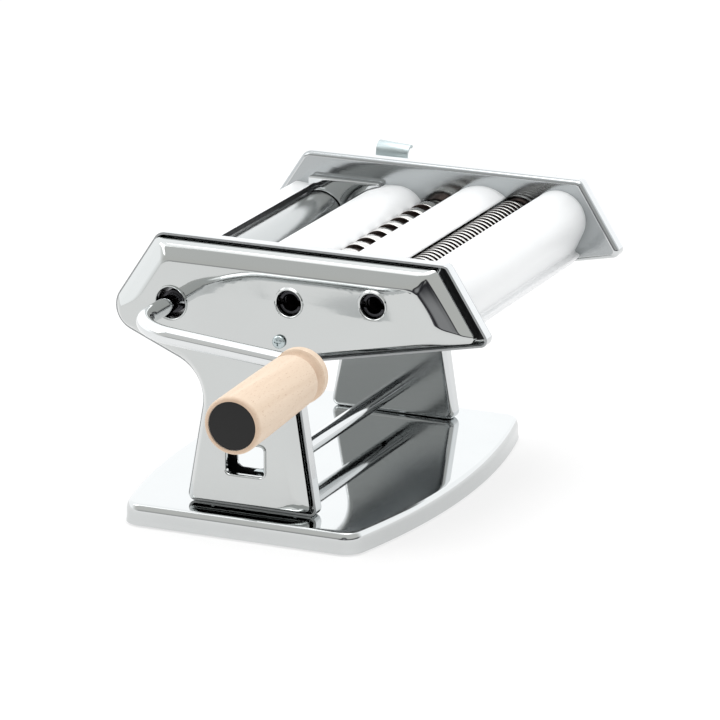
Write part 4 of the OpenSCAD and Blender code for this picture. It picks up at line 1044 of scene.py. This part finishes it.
def cutter(name, place, noodle, extra, body, replaced):
    """A cutter roller: a turned core with a row of rings; the mate has one ring more."""
    piece = finish_piece(name, *roller_body(replaced, place, CORE_RADIUS, 72), cutter_steel)
    rings = piece.modifiers.new("rings", "NODES")
    rings.node_group = cutter_tree
    count = int((2 * ROLLER_HALF - noodle) / (2 * noodle)) + extra
    for label, value in (
        ("Rings", count), ("Pitch", 2 * noodle), ("Ring Width", noodle - 2 * RING_PLAY),
        ("Ring Radius", RING_RADIUS), ("Core Radius", CORE_RADIUS), ("Edge", RING_EDGE), ("Axis Y", place[0]),
        ("Axis Z", GROUND + place[1]), ("Finish", cutter_steel), ("Groove Painted Shade", groove_painted_shade),
    ):
        rings[ring_sockets[label]] = value
    bake(piece, radians(50))
    stand_for(piece, body, replaced)


WIDE_NOODLE = 0.0065
NARROW_NOODLE = 0.002
cutter("wide_cutter_front", SHAFTS[1], WIDE_NOODLE, 0, "wide_drive", "wide_drive_cutter")
cutter("wide_cutter_rear", SHAFTS[2], WIDE_NOODLE, 1, "wide_mate", "wide_mate_cutter")
cutter("narrow_cutter_front", SHAFTS[3], NARROW_NOODLE, 0, "narrow_drive", "narrow_drive_cutter")
cutter("narrow_cutter_rear", SHAFTS[4], NARROW_NOODLE, 1, "narrow_mate", "narrow_mate_cutter")
comb_steel = plain_steel("comb_steel", (0.50, 0.51, 0.52), 0.25, (2500.0, 60.0, 2500.0))
coat_nodes(comb_steel, "wide_drive_comb", "wide_mate_comb", "narrow_drive_comb", "narrow_mate_comb")

# Gears, sockets and bushes
# Cut steel gears behind the crank side cover, blackened sockets for the crank, and nylon bushes that
# carry the shafts in the plates.
gear_steel = plain_steel("gear_steel", (0.42, 0.42, 0.43), 0.3, (2500.0, 400.0, 400.0))
coat_nodes(gear_steel, "drive_gear", "adjust_gear", "wide_drive_gear", "wide_mate_gear",
           "narrow_drive_gear", "narrow_mate_gear")
black_steel = plain_steel("blackened_steel", (0.05, 0.05, 0.055), 0.3)
for name, body in (("drive", "sheet_drive"), ("wide", "wide_drive"), ("narrow", "narrow_drive")):
    socket = smooth_copy(name + "_socket_turned", name + "_socket", black_steel, edge=0.0004)
    stand_for(socket, body, name + "_socket")
nylon = speckled("natural_nylon", (0.80, 0.78, 0.72), 0.05, 0.45, 1200.0, 0.00003)
coat_nodes(nylon, "crank_side_bushes", "dial_side_bushes", "axle_bushes", "adjust_bearings")

# Crank
# One bent steel rod, chromed: straight into the socket, a short arm, and a spindle inside the grip that
# leans out a little. A cross pin drives the socket.
CRANK_DROP = radians(5.0)
ARM_LENGTH = 0.090
ARM_X = 0.1345
GRIP_SPLAY = radians(2.8)
ROD_RADIUS = 0.004
ROD_BENDS = (0.021, 0.009)
ROD_END = 0.0006
GRIP_LENGTH = 0.082
grip_from = ROD_BENDS[1] * tan((pi / 2 - GRIP_SPLAY) / 2) + 0.001
spindle_end = grip_from + GRIP_LENGTH - 0.006
rod_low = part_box("crank_rod")[0]


def crank_place(x, reach, side=0.0):
    """A point of the crank in the row's frame: along X, out along the arm, and square to both."""
    y, h = SHAFTS[0]
    return Vector((
        x,
        y + reach * cos(CRANK_DROP) + side * sin(CRANK_DROP),
        GROUND + h - reach * sin(CRANK_DROP) + side * cos(CRANK_DROP),
    ))


def rod_mesh(path, radius, sides):
    """Points and faces of a round rod along a path of (x, reach), with a small chamfer at its ends."""
    points, faces = [], []
    count = len(path)
    for i, (x, reach) in enumerate(path):
        before, after = Vector(path[max(i - 1, 0)]), Vector(path[min(i + 1, count - 1)])
        along = (after - before).normalized()
        across = Vector((-along.y, along.x))
        r = radius - ROD_END if i in (0, count - 1) else radius
        for k in range(sides):
            a = 2 * pi * k / sides
            flat = Vector((x, reach)) + across * (r * cos(a))
            points.append(tuple(crank_place(flat.x, flat.y, r * sin(a))))
    for i in range(count - 1):
        for k in range(sides):
            j = (k + 1) % sides
            faces.append((i * sides + k, i * sides + j, (i + 1) * sides + j, (i + 1) * sides + k))
    faces.append(list(range(sides)))
    faces.append([(count - 1) * sides + k for k in range(sides)])
    return points, faces


def on_spindle(along, across=0.0):
    """A point of the crank's plane from its place along the spindle and square to it."""
    c, s = cos(GRIP_SPLAY), sin(GRIP_SPLAY)
    return ARM_X + along * c - across * s, ARM_LENGTH + along * s + across * c


rod_path = [(rod_low.x, 0.0), (rod_low.x + ROD_END, 0.0)]
rod_corners = [(rod_low.x + 0.002, 0.0), (ARM_X, 0.0), (ARM_X, ARM_LENGTH), on_spindle(spindle_end - 0.002)]
rod_path += bend_path(rod_corners, ROD_BENDS, 24)
rod_path += [on_spindle(spindle_end - ROD_END), on_spindle(spindle_end)]
crank_chrome = chrome_plate("crank_chrome", (0.70, 0.715, 0.72), 0.05)
points, faces = rod_mesh(rod_path, ROD_RADIUS, 48)
crank_rod = finish_piece("bent_rod", points, faces, crank_chrome)
stand_for(crank_rod, "crank", "crank_rod")
coat_nodes(turned_steel, "crank_pin")

# Grip
# Turned beech, left bare: a collar, a round groove and a body that swells to the free end. A matt black plug
# closes the hole over the spindle's end.
GRIP_NECK = 0.0124
GRIP_SWELL = 0.0130
GRIP_COLLAR = 0.0127
GRIP_CAP = 0.0109
CAP_DEPTH = 0.003
CAP_SUNK = 0.0004
GRIP_BORE = 0.00398
COLLAR_WIDTH = 0.006
COLLAR_ROUND = 0.002
COVE_WIDTH = 0.0064
COVE_DEPTH = 0.0028
COVE_EDGE = 0.0004
GRIP_RIM = 0.0003
CAP_ROOM = 0.0001
cove_rim = min(GRIP_COLLAR, GRIP_NECK) - COVE_EDGE
cove_radius = (COVE_WIDTH ** 2 / 4 + COVE_DEPTH ** 2) / (2 * COVE_DEPTH)
cove_half = asin(COVE_WIDTH / 2 / cove_radius)
grip_round = GRIP_SWELL - GRIP_CAP - GRIP_RIM
body_from = COLLAR_WIDTH + COVE_WIDTH
body_length = GRIP_LENGTH - body_from - grip_round
outline = [(0.0, GRIP_BORE)]
outline += [(x, r) for r, x in arc((GRIP_COLLAR - COLLAR_ROUND, COLLAR_ROUND), COLLAR_ROUND, -pi / 2, 0.0, 8)]
outline.append((COLLAR_WIDTH - COVE_EDGE, GRIP_COLLAR))
cove_centre = (cove_rim - COVE_DEPTH + cove_radius, COLLAR_WIDTH + COVE_WIDTH / 2)
outline += [(x, r) for r, x in arc(cove_centre, cove_radius, pi + cove_half, pi - cove_half, 20)]
for i in range(1, 24):
    swell = (GRIP_SWELL - GRIP_NECK) * sin(pi / 2 * i / 24)
    outline.append((body_from + COVE_EDGE + (body_length - COVE_EDGE) * i / 24, GRIP_NECK + swell))
end_centre = (GRIP_SWELL - grip_round, GRIP_LENGTH - grip_round)
outline += [(x, r) for r, x in arc(end_centre, grip_round, 0.0, pi / 2, 10)]
outline += [(GRIP_LENGTH, GRIP_CAP + CAP_ROOM), (GRIP_LENGTH - CAP_DEPTH, GRIP_CAP + CAP_ROOM),
            (GRIP_LENGTH - CAP_DEPTH, GRIP_BORE)]


def round_spindle(outline):
    """Points and faces of an (along the grip, radius) outline turned about the spindle."""
    points, faces = turned(outline, (grip_from, 0.0, 0.0), 96)
    return [tuple(crank_place(*on_spindle(a, b), c)) for a, b, c in points], faces


points, faces = round_spindle(outline + [outline[0]])
faces = [f for f in faces if len(f) == 4]
grip_start = crank_place(*on_spindle(grip_from))
grip_way = (crank_place(*on_spindle(grip_from + 1.0)) - grip_start).normalized()

WOOD_TONES = [(0.3, (0.695, 0.545, 0.41)), (0.7, (0.77, 0.626, 0.49))]
FLECK_CUT = (0.62, 0.72)
FLECK_MOST = 0.65
FLECK_TONE = (0.50, 0.31, 0.19, 1.0)
# Browner tone for the end grain, and for painted shade in the groove
STAIN_AND_SHADE_TONE = (0.42, 0.24, 0.14, 1.0)
wood, tree = new_material("bare_beech")
place = add_node(tree, "ShaderNodeTexCoord").outputs["Object"]
heart = (0.0, -grip_start.y - 0.06, -grip_start.z + 0.05)
centre = add_node(tree, "ShaderNodeMapping", {"Vector": place, "Location": heart}).outputs[0]
growth = grain(tree, centre, (6.0, 220.0, 220.0), 4.0, 0.4)
flecks = grain(tree, centre, (420.0, 2200.0, 2200.0), 2.0)
fleck_share = math_node(tree, "ShaderNodeMath", "MULTIPLY", add_range(tree, flecks, *FLECK_CUT), FLECK_MOST)[0]
with_flecks = add_mix(tree, fleck_share, add_ramp(tree, growth, WOOD_TONES), FLECK_TONE)
# The groove between collar and body is painted browner as painted shade; the two ends, end grain, are browner
# too
from_start = math_node(tree, "ShaderNodeVectorMath", "SUBTRACT", place, grip_start)[0]
along_grip = math_node(tree, "ShaderNodeVectorMath", "DOT_PRODUCT", from_start, grip_way)["Value"]
groove_at, groove_half = (COLLAR_WIDTH + COVE_WIDTH / 2) / GRIP_LENGTH, COVE_WIDTH / 2 / GRIP_LENGTH
stain_and_shade_stops = [(0.0, 0.3), (0.02, 0.0), (groove_at - groove_half, 0.0), (groove_at, 0.75),
          (groove_at + groove_half, 0.0), (0.97, 0.0), (0.99, 0.15), (1.0, 0.4)]
grip_share = add_range(tree, along_grip, 0.0, GRIP_LENGTH)
brown = add_ramp(tree, grip_share, [(at, (share, share, share)) for at, share in stain_and_shade_stops])
bump = {"Height": flecks, "Strength": 0.3, "Distance": 0.00008}
coated(wood, {
    "Base Color": add_mix(tree, brown, with_flecks, STAIN_AND_SHADE_TONE),
    "Roughness": 0.55,
    "Normal": add_node(tree, "ShaderNodeBump", bump).outputs[0],
})

grip = finish_piece("beech_grip", points, faces, wood, sharp=radians(45))
grip.visible_glossy = False
stand_for(grip, "grip", "grip")
CAP_DOME = 0.0003
CAP_EDGE = 0.0005
cap_top = GRIP_LENGTH - CAP_SUNK
cap_outline = [(GRIP_LENGTH - CAP_DEPTH, 0.0), (GRIP_LENGTH - CAP_DEPTH, GRIP_CAP)]
for i in range(7):
    a = radians(15 * i)
    cap_outline.append((cap_top - CAP_EDGE + CAP_EDGE * sin(a), GRIP_CAP - CAP_EDGE * (1 - cos(a))))
for i in range(9, -1, -1):
    dome = CAP_DOME * (1 - (i / 10.0) ** 2)
    cap_outline.append((cap_top + dome, GRIP_CAP * 0.95 * i / 10.0))
points, faces = round_spindle(cap_outline)
cap_black = speckled("matt_black", (0.016, 0.016, 0.016), 0.12, 0.55, 700.0, 0.00002, 0.25)
cap = finish_piece("grip_plug", points, faces, cap_black)
cap.visible_glossy = False
stand_for(cap, "grip", "grip_cap")

# Thickness lever
# A zinc plated strip on the eccentric axle outside the dial side cover; its tip is curled away for the
# thumb and a nut holds it against a spacer.
lever_zinc = plain_steel("lever_zinc", (0.47, 0.535, 0.545), 0.45, (700.0, 700.0, 700.0))
lever = smooth_copy("zinc_lever", "thickness_lever", lever_zinc, edge=0.00025)
stand_for(lever, "thickness_lever", "thickness_lever")
coat_nodes(bright_zinc, "lever_washer", "lever_nut")
coat_nodes(turned_steel, "eccentric_axle")
